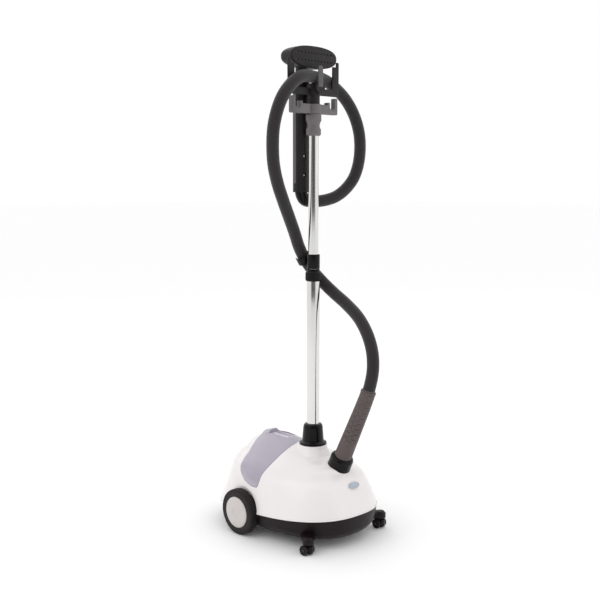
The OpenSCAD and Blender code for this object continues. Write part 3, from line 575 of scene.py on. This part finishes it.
def skin_solid(name, inset, drop=0.0, bead=False, steps=6):
    """The dome's outer skin as a solid, drawn in by inset, starting drop below the seam."""
    rings = []
    for z, *rest in smooth_line(LEVELS, steps):
        down = inset * min(max((z - TOP_Z) / TOP_BLEND, SIDE_SHARE), 1.0)
        slope = SEAM_SLOPE * max(0.0, 1 - (z - SEAM_Z) / SEAM_FADE)
        rings.append(((z - (down if z > SEAM_Z + 1 else 0.0), *rest), slope, 0.0))
    first = rings[0][0]
    if bead:  # a thin lip round the lower edge
        low = [(0.0, 0.4), (0.5, 0.9), (2.6, 0.9), (3.4, 0.1)]
        rings = [((first[0] + dz, *first[1:]), SEAM_SLOPE, grow) for dz, grow in low] + rings[1:]
    elif drop:
        rings[0] = ((first[0] - drop, *first[1:]), SEAM_SLOPE, 0.0)
    rings = [skin_ring(level, inset, slope, grow=grow) for level, slope, grow in rings]
    verts, faces = rings_mesh(rings)
    return make_mesh(name, verts, faces)


def pan_solid(name, inset, top_drop, floor_z=20.0):
    """The pan as a solid from floor_z up to top_drop under the seam."""
    levels = [(floor_z, *PAN[0][1:])] + PAN[1:]
    levels[-1] = (levels[-1][0] - top_drop, *levels[-1][1:])
    dense = smooth_line(levels, 6)
    rings = []
    for k, (z, *rest) in enumerate(dense):
        t = k / (len(dense) - 1)
        slope = SEAM_SLOPE * max(0.0, (t - 2 / 3) * 3)
        rings.append(skin_ring((z, *rest), inset, slope))
    verts, faces = rings_mesh(rings)
    return make_mesh(name, verts, faces)


def prism(name, outline, half_width):
    """An outline of (y, z) stretched along X."""
    rings = [[(x, y, z) for y, z in outline] for x in (-half_width, half_width)]
    return make_mesh(name, *rings_mesh(rings))


def box_mesh(name, low, high, matrix=None):
    """A plain box between two corners."""
    (x0, y0, z0), (x1, y1, z1) = low, high
    rings = [[(x0, y0, z), (x1, y0, z), (x1, y1, z), (x0, y1, z)] for z in (z0, z1)]
    return make_mesh(name, *rings_mesh(rings), matrix)


def side_outline(points, inset, lift, lift_below):
    """A side view drawn in by inset, with its points under lift_below raised by lift."""
    middle = 50.0
    moved = [(y + (inset if y < middle else -inset), z + (lift if z < lift_below else 0), r)
             for y, z, r in points]
    return rounded(moved, 0.0, 8)


def arch_tools(room):
    """Cutters for the two wheel arches, larger all round by room."""
    return [rod("arch", (s * (ARCH_X - room), AXLE_Y, AXLE_Z), (s * 260, AXLE_Y, AXLE_Z),
                ARCH_R + room, edge=0.0, sides=128) for s in (-1, 1)]


def at_switch():
    """The frame of the rocker switch, Z out of its face."""
    return at(*SWITCH, rx=SWITCH_TILT)


def port_matrix():
    """The frame of the hose port, Z along the hose."""
    return at(*PORT, rx=PORT_LEAN)


def pole_boss():
    """Raised ring on the shell round the pole's socket, kept clear of the tank's bay."""
    profile = rounded([(0, 190, 0), (50, 190, 0), (46.5, 197, 4), (40.5, 206, 8), (37, 214, 6),
                       (36, 221.8, 1.2), (0, 221.8, 0)], 0.0, 6, closed=False)
    boss = lathe("boss", profile, at(0, POLE_Y, 0), closed=False)
    return cut(boss, prism("bay", side_outline(BAY, -3.2, 0, 0), 200))


def add_shell():
    """Hollow shell, open for the tank, the pole, the port, the switch, the cord and the wheels."""
    shell = skin_solid("dome", 0.0, bead=True)
    inner = skin_solid("inner", WALL, drop=8.0)
    cut(inner, *arch_tools(WALL))
    cut(shell, inner)
    cut(shell, pole_boss(), operation="UNION")
    window = prism("window", side_outline(WINDOW, 0, 0, 0), 200)
    socket = rod("socket_hole", (0, POLE_Y, 180), (0, POLE_Y, 300), 30.6, edge=0.0, sides=96)
    port = lathe("port_hole", [(0, -60), (29.1, -60), (29.1, 60), (0, 60)], port_matrix(),
                 closed=False)
    slot = box_mesh("switch_hole", (-16, -11, -12), (16, 11, 28), at_switch())
    inlet = rod("inlet_hole", (-40, 150, 84), (-40, 240, 84), 9.5, edge=0.0)
    cut(shell, window, socket, port, slot, inlet, *arch_tools(0.0))
    soften(shell, 0.5)
    adopt(shade(shell, 30), "base", "shell_plastic", ["upper_shell"])


def add_pan():
    """Hollow pan with a column round the pole, and the two legs."""
    pan = pan_solid("pan", 0.0, 0.4)
    hollow = pan_solid("hollow", WALL, -6.0, 20.0 + WALL)
    keep = arch_tools(WALL) + [rod("column", (0, POLE_Y, 20), (0, POLE_Y, 120), 21, edge=0.0)]
    cut(hollow, *keep)
    column = rod("pole_hole", (0, POLE_Y, 26), (0, POLE_Y, 130), 18, edge=0.0)
    drain = rod("drain_hole", (0, -150, 0), (0, -150, 30), 9.3, edge=0.0)
    axle = rod("axle_hole", (-160, AXLE_Y, AXLE_Z), (160, AXLE_Y, AXLE_Z), 4.1, edge=0.0)
    cut(pan, hollow, column, drain, axle, *arch_tools(0.0))
    soften(pan, 0.6)
    adopt(shade(pan, 30), "base", "pan_plastic", ["base_pan"])
    for s, side in ((-1, "left"), (1, "right")):
        add_leg(s, side)


def add_leg(s, side):
    """Outrigger leg: it leaves the pan's corner and drops to a round boss over the caster."""
    stations = [(82, -120, 34, 22, 13), (98, -134, 35, 20, 13), (112, -147, 35, 17.5, 11.5),
                (122, -157, 34.5, 15.5, 9.5), (128, -164, 34, 14.2, 8.0)]
    line = smooth_line(stations, 6)
    rings = []
    for i, (x, y, z, half, tall) in enumerate(line):
        across = Vector((0.69, 0.72, 0))
        rings.append([Vector((x, y, z)) + across * half * sgn_pow(math.cos(a), 0.7)
                      + Vector((0, 0, tall * sgn_pow(math.sin(a), 0.7)))
                      for a in (2 * math.pi * k / 48 for k in range(48))])
    verts, faces = rings_mesh(rings)
    verts = [(s * v[0], v[1], v[2]) for v in verts]
    leg = make_mesh("leg_" + side, verts, faces)
    leg = shade(soften(leg, 2.5, 3), 40)
    adopt(leg, "base", "pan_plastic")
    boss = rounded([(4.1, 25.8, 0), (13.6, 25.8, 1.5), (14.4, 38, 5), (9.5, 44, 4), (0, 44.6, 0),
                    (0, 38, 0), (4.1, 38, 0)], 1.0)
    piece = lathe("boss_" + side, boss, at(s * 128, -164, 0))
    adopt(piece, "base", "pan_plastic")


def add_tank():
    """The tank follows the dome where it shows, and fills the bay below."""
    tank = skin_solid("tank", 0.3)
    window = prism("window", side_outline(WINDOW, 1.2, 1.2, 170), 200)
    cut(tank, window, operation="INTERSECT")
    low = skin_solid("tank_low", 6.2)
    bay = prism("bay", side_outline(BAY, 1.3, 4.0, 67), 120)
    cut(low, bay, operation="INTERSECT")
    cut(tank, low, operation="UNION")
    cut(tank, box_mesh("recess", (-20, 28, 206), (20, 96, 300)),
        rod("cap_hole", (0, 26, 50), (0, 26, 90), 13.4, edge=0.0))
    soften(tank, 0.8, 3)
    adopt(shade(tank, 30), "tank", "tank_plastic", ["water_tank"])


add_shell()
add_pan()
add_tank()


def add_grip():
    """The bar in the tank's recess, with a flared foot at each end."""
    low, high = 28.9, 95.1
    profile = rounded([(0, 0, 0), (6.6, 0, 0.5), (6.2, 3, 2), (5, 8, 4), (5, 58.2, 4), (6.2, 63.2, 2),
                       (6.6, high - low, 0.5), (0, high - low, 0)], 0.0, 5, closed=False)
    adopt(lathe("grip_bar", profile, at(0, low, 216.5, rx=-90), 48, closed=False), "tank",
          "grip_plastic")


def add_wheels():
    """Rear wheels: tyre with a fine tread, dished hub and domed cap."""
    for s, side in ((-1, "left"), (1, "right")):
        body = "wheel_" + side
        place = at(s * 143, AXLE_Y, AXLE_Z, ry=90 * s)
        tread, width, shoulder, sides = [], 24, 5, 288
        section = rounded([(38.8, 0, 0), (53, 0, 3), (56, 1.5, 2), (57, 5, 3), (57, 19, 3),
                           (56, 22.5, 2), (53, 24, 3), (38.8, 24, 0)], 0.0, 4, closed=False)
        for i in range(sides):
            a = 2 * math.pi * i / sides
            groove = 0.45 if i % 6 < 2 else 0.0
            outline = [(r - (groove if shoulder < z < width - shoulder else 0.0), z) for r, z in section]
            tread.append([(r * math.cos(a), r * math.sin(a), z) for r, z in outline])
        verts, faces = rings_mesh(tread, ends=False, loop=True)
        adopt(shade(make_mesh("tyre_" + side + "_round", verts, faces, place), 32), body,
              "tyre_rubber", ["tyre_" + side])
        hub = rounded([(4.1, 2, 0.4), (10, 2, 0.6), (10, 8, 1), (38.7, 8, 0.6), (38.7, 22, 0.8),
                       (34.8, 22, 0.8), (34.8, 12, 1.5), (10, 12, 1), (10, 17, 0.6), (4.1, 17, 0.4)],
                      0.5, 4)
        adopt(lathe("hub_" + side + "_turned", hub, place), body, "hub_plastic", ["hub_" + side])
        cap = rounded([(0, 26.4, 0), (15.5, 25.8, 8), (27.9, 23.6, 4), (32.2, 21.2, 1), (32.2, 17.2, 0.5),
                       (34.4, 17.2, 0.5), (34.4, 22.2, 0.5), (38.6, 22.2, 0.4), (38.4, 25.2, 1.2),
                       (34.1, 27.4, 4), (24, 29.4, 10), (8.5, 30.7, 8), (7.6, 29.9, 0.8),
                       (0, 29.9, 0)], 0.0, 5, closed=False)
        adopt(lathe("hub_cap_" + side + "_domed", cap, place, closed=False), body, "cap_plastic",
              ["hub_cap_" + side])


def add_casters():
    """Twin-wheel casters: fork between two wheels, hooded, on a stem in the leg's boss."""
    for s, side in ((-1, "left"), (1, "right")):
        x, y = s * 128, -164
        fork = rounded([(0, 4, 0), (11.4, 4, 1), (12.4, 6, 1.5), (12.4, 22.4, 1), (9, 23.4, 1),
                        (4, 23.4, 0.3), (4, 36, 0.6), (0, 36, 0)], 0.0, 5, closed=False)
        piece = lathe("fork_" + side, fork, at(x, y, 0), 96, closed=False)
        sides = [box_mesh("slot", (x + a, y - 10, -1), (x + b, y + 16, 25))
                 for a, b in ((-20, -5.4), (5.4, 20))]
        bore = rod("bore", (x - 20, y + 3, 12), (x + 20, y + 3, 12), 2.06, edge=0.0, sides=32)
        cut(piece, *sides, bore)
        adopt(shade(soften(piece, 0.4), 35), "caster_" + side, "black_plastic",
              ["caster_yoke_" + side])
        rim = rounded([(2.06, 0, 0), (10.4, 0, 0.8), (12, 1.2, 1.2), (12, 6.8, 1.2), (10.4, 8, 0.8),
                       (8.8, 8, 0.4), (8.4, 6.9, 0.4), (4.6, 6.9, 0.4), (4.2, 8, 0.4), (2.06, 8, 0)],
                      0.0, 4)
        for k, offset in enumerate((-7, 7)):
            place = at(x + offset, y + 3, 12, ry=90 if k else -90)
            wheel = lathe("caster_wheel_%s_%d" % (side, k), rim, place, 64)
            adopt(wheel, "caster_roll_" + side, "tyre_rubber", ["caster_wheels_" + side])


def add_base_fittings():
    """Socket, port collar, lens, switch and cord inlet."""
    socket = rounded([(16.1, 144, 0.4), (20, 144, 1), (20, 188, 3), (30, 196, 2), (30, 222, 0.4),
                      (33.6, 222, 0.4), (34.5, 224, 1), (33.9, 226.8, 1.5), (30.5, 228.6, 3),
                      (27.4, 230.4, 2), (26.7, 235, 3), (24.5, 266, 5), (22.8, 271, 2), (20.5, 274, 1.2),
                      (16.1, 274, 0.5)], 0.5, 5)
    adopt(lathe("pole_socket_turned", socket, at(0, POLE_Y, 0), 128), "base", "black_plastic",
          ["pole_socket"])
    collar = rounded([(9.4, -30, 0.4), (22.5, -30, 1), (28.5, -24, 3), (28.5, 9, 4), (26.6, 13, 2.5),
                      (23.5, 15, 1.2), (15.3, 15, 0.5), (15.3, -0.2, 0.3), (9.4, -0.2, 0.3)], 0.5, 5)
    adopt(lathe("port_collar_turned", collar, port_matrix(), 128), "base", "black_plastic",
          ["port_collar"])
    rings = [[(r * 17 * math.cos(a), r * 8 * math.sin(a), z) for a in
              (2 * math.pi * i / 72 for i in range(72))]
             for r, z in ((0.985, 0.2), (1.0, 0.8), (1.0, 2.1), (0.97, 2.8), (0.85, 3.1), (0.55, 3.35),
                          (0.15, 3.45))]
    lens = make_mesh("lens_domed", *rings_mesh(rings), at(0, -191, 146, rx=66))
    adopt(shade(lens, 40), "base", "lens", ["indicator_lens"])
    bezel = box_mesh("bezel", (-15, -10, -8), (15, 10, 14), at_switch())
    cut(bezel, box_mesh("mouth", (-12, -7.5, -4), (12, 7.5, 16), at_switch()))
    adopt(shade(soften(bezel, 1.0, 4), 35), "base", "black_plastic", ["switch_bezel"])
    sleeve = rounded([(4, 176, 0.4), (9, 176, 0.6), (9, 199.6, 1), (7, 200, 0.5), (7, 202, 0.6),
                      (6.2, 202.6, 0.4), (6.2, 204, 0.4), (7, 204.6, 0.6), (7, 208, 1), (4, 208, 0.5)],
                     0.4, 4)
    adopt(lathe("cord_sleeve", sleeve, at(-40, 0, 84, rx=-90), 72), "base", "seal_rubber",
          ["cord_inlet"])


def add_pole():
    """Two chromed tubes, the lock between them and the collar near the top."""
    adopt(rod("lower_tube", (0, POLE_Y, 150), (0, POLE_Y, 640), 16, 0.3, 128, 14.8), "base",
          "chrome_tube", ["lower_pole"])
    adopt(rod("upper_tube", (0, POLE_Y, 400), (0, POLE_Y, 1062), 12.5, 0.3, 128, 11.3), "mast",
          "chrome_tube", ["upper_pole"])
    sleeve = rounded([(12.8, 600, 0.3), (14.7, 600, 0.3), (14.7, 640.2, 0), (16, 640.2, 0.3),
                      (16, 660.6, 1.2), (12.8, 662, 0.5)], 0.3, 4)
    adopt(lathe("lock_sleeve", sleeve, at(0, POLE_Y, 0)), "base", "black_plastic", ["lock_body"])
    rings, sides, ribs = [], 288, 24
    section = rounded([(16.3, 632, 0.3), (17.6, 632, 0.6), (18.6, 635, 1), (18.6, 652, 1.5),
                       (17, 656, 0.8), (16.3, 656, 0.2)], 0.3, 4)
    for i in range(sides):
        a = 2 * math.pi * i / sides
        rib = 0.9 * max(0.0, math.cos(ribs * 2 * math.pi * i / sides)) ** 0.6
        outline = [(r + (rib if r > 18.2 else 0), z) for r, z in section]
        rings.append([(r * math.cos(a), r * math.sin(a), z) for r, z in outline])
    verts, faces = rings_mesh(rings, ends=False, loop=True)
    adopt(shade(make_mesh("lock_ring", verts, faces, at(0, POLE_Y, 0)), 40), "lock",
          "black_plastic", ["lock_collar"])
    collar = rounded([(12.6, 984, 0.4), (15, 984, 0.8), (18, 987, 2.5), (18, 999, 3), (15.3, 1004, 4),
                      (14.8, 1010, 5), (16.6, 1016, 3), (19, 1020, 2.5), (19, 1032.5, 2.5), (17, 1035.6, 1),
                      (12.6, 1035.6, 0.4)], 0.5, 5)
    adopt(lathe("spool", collar, at(0, POLE_Y, 0)), "mast", "grey_plastic", ["top_collar"])


def add_clip():
    """Sleeve round the pole, a short block, and an open ring that the hose snaps into."""
    sleeve = rounded([(12.9, 662.4, 0.3), (16.1, 662.4, 0.8), (16.1, 698, 1.2), (12.9, 698, 0.3)],
                     0.3, 4)
    adopt(lathe("clip_sleeve", sleeve, at(0, POLE_Y, 0)), "base", "black_plastic", ["hose_clip"])
    block = box_mesh("clip_block", (-5, POLE_Y + 15, 678), (6, POLE_Y + 19.4, 694))
    adopt(shade(soften(block, 1.0, 3), 40), "base", "black_plastic")
    section = rounded([(16.3, -10, 0.8), (18.7, -10, 0.8), (18.7, 10, 0.8), (16.3, 10, 0.8)], 0.8, 3)
    rings = []
    for i in range(73):
        a = math.radians(140 + 270 * i / 72)
        rings.append([(r * math.cos(a), r * math.sin(a), z) for r, z in section])
    ring = make_mesh("clip_ring", *rings_mesh(rings), at(1, POLE_Y + 34.5, 686, ry=-33))
    adopt(shade(ring, 40), "base", "black_plastic")


def mirrored(half):
    """A closed outline from its right half, listed upwards from the middle line."""
    return half + [(-x, *rest) for x, *rest in reversed(half)]


def circle(x, y, radius, sides=20):
    """Points round a circle."""
    return [(x + radius * math.cos(2 * math.pi * k / sides),
             y + radius * math.sin(2 * math.pi * k / sides)) for k in range(sides)]


def add_rack():
    """Hanger rack: a bar with an upturned end and a round notch on each side."""
    notch = [(58 + 8 * math.cos(a), 19 + 8 * math.sin(a), 0)
             for a in (-math.pi * k / 16 for k in range(1, 16))]
    half = [(76, 0, 4), (76, 40, 4), (66, 40, 3), (66, 19, 0)] + notch
    half += [(50, 19, 0), (50, 29, 2.5), (42, 29, 2.5), (42, 23, 2)]
    outline = rounded(mirrored(half), 1.0, 5)
    plate = slab("rack_plate", outline, 14, 1.4, at(0, POLE_Y, 1036) @ FRONT)
    cut(plate, rod("bore", (0, POLE_Y, 1030), (0, POLE_Y, 1070), 15, edge=0.0))
    adopt(shade(plate, 40), "mast", "grey_plastic", ["hanger_rack"])
    hub = rounded([(12.6, 1036, 0.4), (18, 1036, 1.2), (18, 1059, 1.2), (12.6, 1059, 0.4)], 0.4, 5)
    adopt(lathe("rack_hub", hub, at(0, POLE_Y, 0)), "mast", "grey_plastic")


def add_rest():
    """Post that the hose lies over, with a knob and a springy finger in front of the hose."""
    post = rounded([(0, 1062.3, 0), (12.6, 1062.3, 0.3), (12.6, 1059.2, 0.3), (15, 1059.2, 0.8),
                    (15, 1107.4, 1.6), (0, 1107.4, 0)], 0.3, 5, closed=False)
    adopt(lathe("rest_post", post, at(0, POLE_Y, 0), closed=False), "mast", "head_plastic",
          ["hose_rest"])
    block = box_mesh("rest_block", (-6, POLE_Y - 20.5, 1098.4), (6, POLE_Y - 10.5, 1106.4))
    adopt(shade(soften(block, 1.0, 3), 40), "mast", "head_plastic")
    knob = rounded([(0, 0, 0), (14.4, 0, 0.6), (15, 1, 0.6), (15, 4.4, 1.2), (13.2, 6, 0.8),
                    (11.6, 5.2, 0.8), (9, 5.0, 1), (0, 5.4, 0)], 0.3, 5, closed=False)
    adopt(lathe("rest_knob", knob, at(0, POLE_Y - 19.5, 1098, rx=90), closed=False), "mast",
          "head_plastic")
    finger = rounded([(8, 0, 2), (8, 30, 12), (6.6, 50, 5), (-6.6, 50, 5), (-8, 30, 12), (-8, 0, 2)],
                     2.0, 6)
    piece = slab("rest_finger", finger, 3.4, 1.0, at(0, POLE_Y - 23.6, 1098) @ FRONT)
    adopt(piece, "mast", "strip_rubber")


def add_cradle():
    """Yoke for the head: lips under the nozzle and an arm beside each of its ends."""
    half = [(85, 0, 5), (85, 83, 3.5), (77, 83, 2.5), (77, 71.7, 2), (64, 71.7, 2.5), (64, 40, 2),
            (62, 40, 2), (62, 17, 6)]
    plate = slab("cradle_plate", rounded(mirrored(half), 1.0, 6), 4, 1.0,
                 at(0, POLE_Y, 1080) @ FRONT)
    cut(plate, rod("bore", (0, POLE_Y, 1070), (0, POLE_Y, 1120), 16, edge=0.0))
    adopt(shade(plate, 40), "mast", "head_plastic", ["head_cradle"])
    ring = rounded([(15.1, 1080, 0.4), (17.4, 1080, 0.8), (17.4, 1096, 0.8), (15.1, 1096, 0.4)], 0.4, 4)
    adopt(lathe("cradle_ring", ring, at(0, POLE_Y, 0)), "mast", "head_plastic")


def full_oval(a, b, points=96, power=0.8):
    """Points round a fuller oval with half axes a and b."""
    return [(a * sgn_pow(math.cos(2 * math.pi * k / points), power),
             b * sgn_pow(math.sin(2 * math.pi * k / points), power)) for k in range(points)]


def add_nozzle():
    """Wide steam head with a rounded back, its front plate with two rows of holes, and a neck."""
    depth = [(-50.9, 0.8), (-50.2, 0.0), (-40, 0.0), (-26, 0.2), (-17, 1.2), (-12, 3.4), (-9, 6.6),
             (-7.4, 11.5), (-7.0, 17.5)]
    rings = [[(x, y, 1169 + z) for x, z in full_oval(75 - inset, 26 - inset)]
             for y, inset in smooth_line(depth, 4)]
    body = make_mesh("nozzle_round", *rings_mesh(rings))
    adopt(shade(body, 50), "head", "head_plastic", ["nozzle_body"])
    spine = [(1112.4, 14.2, 10.8, -5.6), (1114, 15.2, 11.6, -5.6), (1126, 15, 11.4, -6.2),
             (1138, 15.8, 11, -9.5), (1150, 19, 11, -13), (1160, 23, 11, -16)]
    rings = [[(-1 + x, yc + y, z) for x, y in full_oval(a, b, 72, 0.62)]
             for z, a, b, yc in smooth_line(spine, 5)]
    adopt(shade(make_mesh("nozzle_neck", *rings_mesh(rings)), 50), "head", "head_plastic")
    holes = [circle(i * 150 / 14, row * 9, 1.6, 16) for row in (-1, 1) for i in range(-5, 6)]
    plate = slab("steam_face", full_oval(74, 25, 120), 3.0, 0.8, at(0, -52.6, 1169) @ FRONT, holes)
    adopt(plate, "head", "head_plastic", ["steam_plate"])


SCREW_HEIGHTS = (890, 936, 1050)


def add_handle():
    """Two-part handle with counterbored screws, a grey strip painted as highlight on its lit left side, and
    the elbow to the hose.
    """
    for front, side in ((True, "front"), (False, "back")):
        rings = []
        for z, inset in smooth_line([(850, 2.0), (850.7, 0.7), (852.6, 0), (900, 0), (980, 0), (1060, 0),
                                     (1109.4, 0), (1111.3, 0.7), (1112, 2.0)], 4):
            first = math.pi if front else 0.0
            ring = [(-1 + (22 - inset) * math.cos(a), -8 + (18.5 - inset) * math.sin(a), z)
                    for a in (first + math.pi * k / 48 for k in range(49))]
            edge = -8 + (-0.12 if front else 0.12)
            rings.append([(x, min(y, edge) if front else max(y, edge), z) for x, y, z in ring])
        half = make_mesh("handle_%s_half" % side, *rings_mesh(rings))
        if front:
            cut(half, *[rod("screw_hole", (-6, -60, z), (-6, -21.4, z), 4.2, edge=0.0)
                        for z in SCREW_HEIGHTS])
        adopt(shade(soften(half, 0.5, 2), 40), "head", "handle_plastic", ["handle_" + side])
    for k, z in enumerate(SCREW_HEIGHTS):
        head = rounded([(0, 0, 0), (4, 0, 0.2), (4, 1.2, 0.6), (2.4, 2.0, 1.5), (0, 2.1, 0)], 0.2, 4,
                       closed=False)
        adopt(lathe("handle_screw_%d" % k, head, at(-6, -21.5, z, rx=90), 48, closed=False), "head",
              "bright_steel", ["handle_screws"])
    # Painted highlight: a thin pale grey sheet on the handle's left side stands for the light falling on
    # that side.
    strip = rounded([(4.5, -108, 4.4), (4.5, 108, 4.4), (-4.5, 108, 4.4), (-4.5, -108, 4.4)], 4.4, 8)
    turn = at(-22.9, -8, 978, rz=-90) @ FRONT
    adopt(slab("handle_painted_highlight_strip", strip, 1.6, 0.5, turn), "head", "strip_rubber")
    bend = smooth_line([(24.6, -8, 828), (17, -8, 828.8), (8.5, -8, 832.4), (2.6, -8, 839.5),
                        (-0.4, -8, 846), (-1, -8, 849.8)], 6)
    piece = sweep("elbow", bend, lambda s, a: 16.4 - 0.9 * min(s / 30.0, 1.0), 64)
    adopt(shade(piece, 50), "head", "black_plastic", ["hose_ferrule"])


def add_grip_pan():
    """Recess that the fingers reach into, sunk in the tank's top."""
    pan = box_mesh("grip_pan", (-19.5, 28.5, 206), (19.5, 95.5, 221.6))
    cut(pan, box_mesh("inside", (-17.6, 30.4, 208), (17.6, 93.6, 240)))
    adopt(shade(soften(pan, 0.7, 3), 35), "tank", "grip_plastic", ["tank_grip"])


add_grip_pan()
add_clip()
add_rack()
add_rest()
add_cradle()
add_nozzle()
add_handle()
add_grip()
add_wheels()
add_casters()
add_base_fittings()
add_pole()


# ---------------------------------------------------------------- what stays from the CAD
def dress_cad_nodes():
    """Each CAD node that still shows gets its slot's material."""
    for name, node in frame["nodes"].items():
        if node.hide_render:
            continue
        node.data.materials.clear()
        node.data.materials.append(MATERIALS[SLOTS[name]])


dress_cad_nodes()


# ---------------------------------------------------------------- floor, lights
def make_stage():
    """A very large pale floor that runs out to the horizon."""
    half = 30000.0
    verts = [(-half, -half, 0), (half, -half, 0), (half, half, 0), (-half, half, 0)]
    floor = make_mesh("floor", verts, [(0, 1, 2, 3)])
    floor.data.materials.append(moulded("floor", (0.99, 0.99, 0.99), 0.65, grain=60, bump=0.02,
                                        variation=0.004, Specular_IOR_Level=0.1))


def area_light(name, place, target, size, power):
    """A square soft light that faces target."""
    data = bpy.data.lights.new(name, "AREA")
    data.shape, data.size, data.energy = "SQUARE", size, power
    lamp = bpy.data.objects.new(name, data)
    lamp.location = place
    lamp.rotation_euler = (Vector(target) - Vector(place)).to_track_quat("-Z", "Y").to_euler()
    bpy.context.collection.objects.link(lamp)


def make_lights():
    """Soft boxes round the steamer in a white room; the room is darker in front of the chrome."""
    area_light("key", (-2.8, 0.4, 3.0), (0, 0, 0.4), 3.0, 15)
    area_light("fill", (2.4, -2.2, 2.4), (0, 0, 0.5), 3.0, 5)
    area_light("back", (1.2, 3.0, 2.6), (0, 0, 0.6), 3.0, 9)
    world = bpy.data.worlds.new("world")
    bpy.context.scene.world = world
    world.use_nodes = True
    n = Nodes(world)
    ray = n.add("LightPath")
    way = n.add("SeparateXYZ", {0: n.add("TexCoord").outputs["Generated"]})
    from_left = n.math("MULTIPLY", way.outputs[1], -0.71)
    toward = n.math("MULTIPLY_ADD", way.outputs[0], -0.70, from_left)
    dark = n.between(toward, 0.66, 0.90, 0.0, 0.9)
    seen_dark = n.math("MULTIPLY", dark, ray.outputs["Is Glossy Ray"])
    level = n.math("SUBTRACT", 1.0, seen_dark)
    level = n.math("MAXIMUM", level, ray.outputs["Is Camera Ray"])
    sky = n.add("Background", {"Color": (1.0, 1.0, 1.0, 1.0), "Strength": level})
    n.add("OutputWorld", {"Surface": sky.outputs[0]})
    bpy.context.scene.view_settings.view_transform = "Standard"


make_stage()
make_lights()
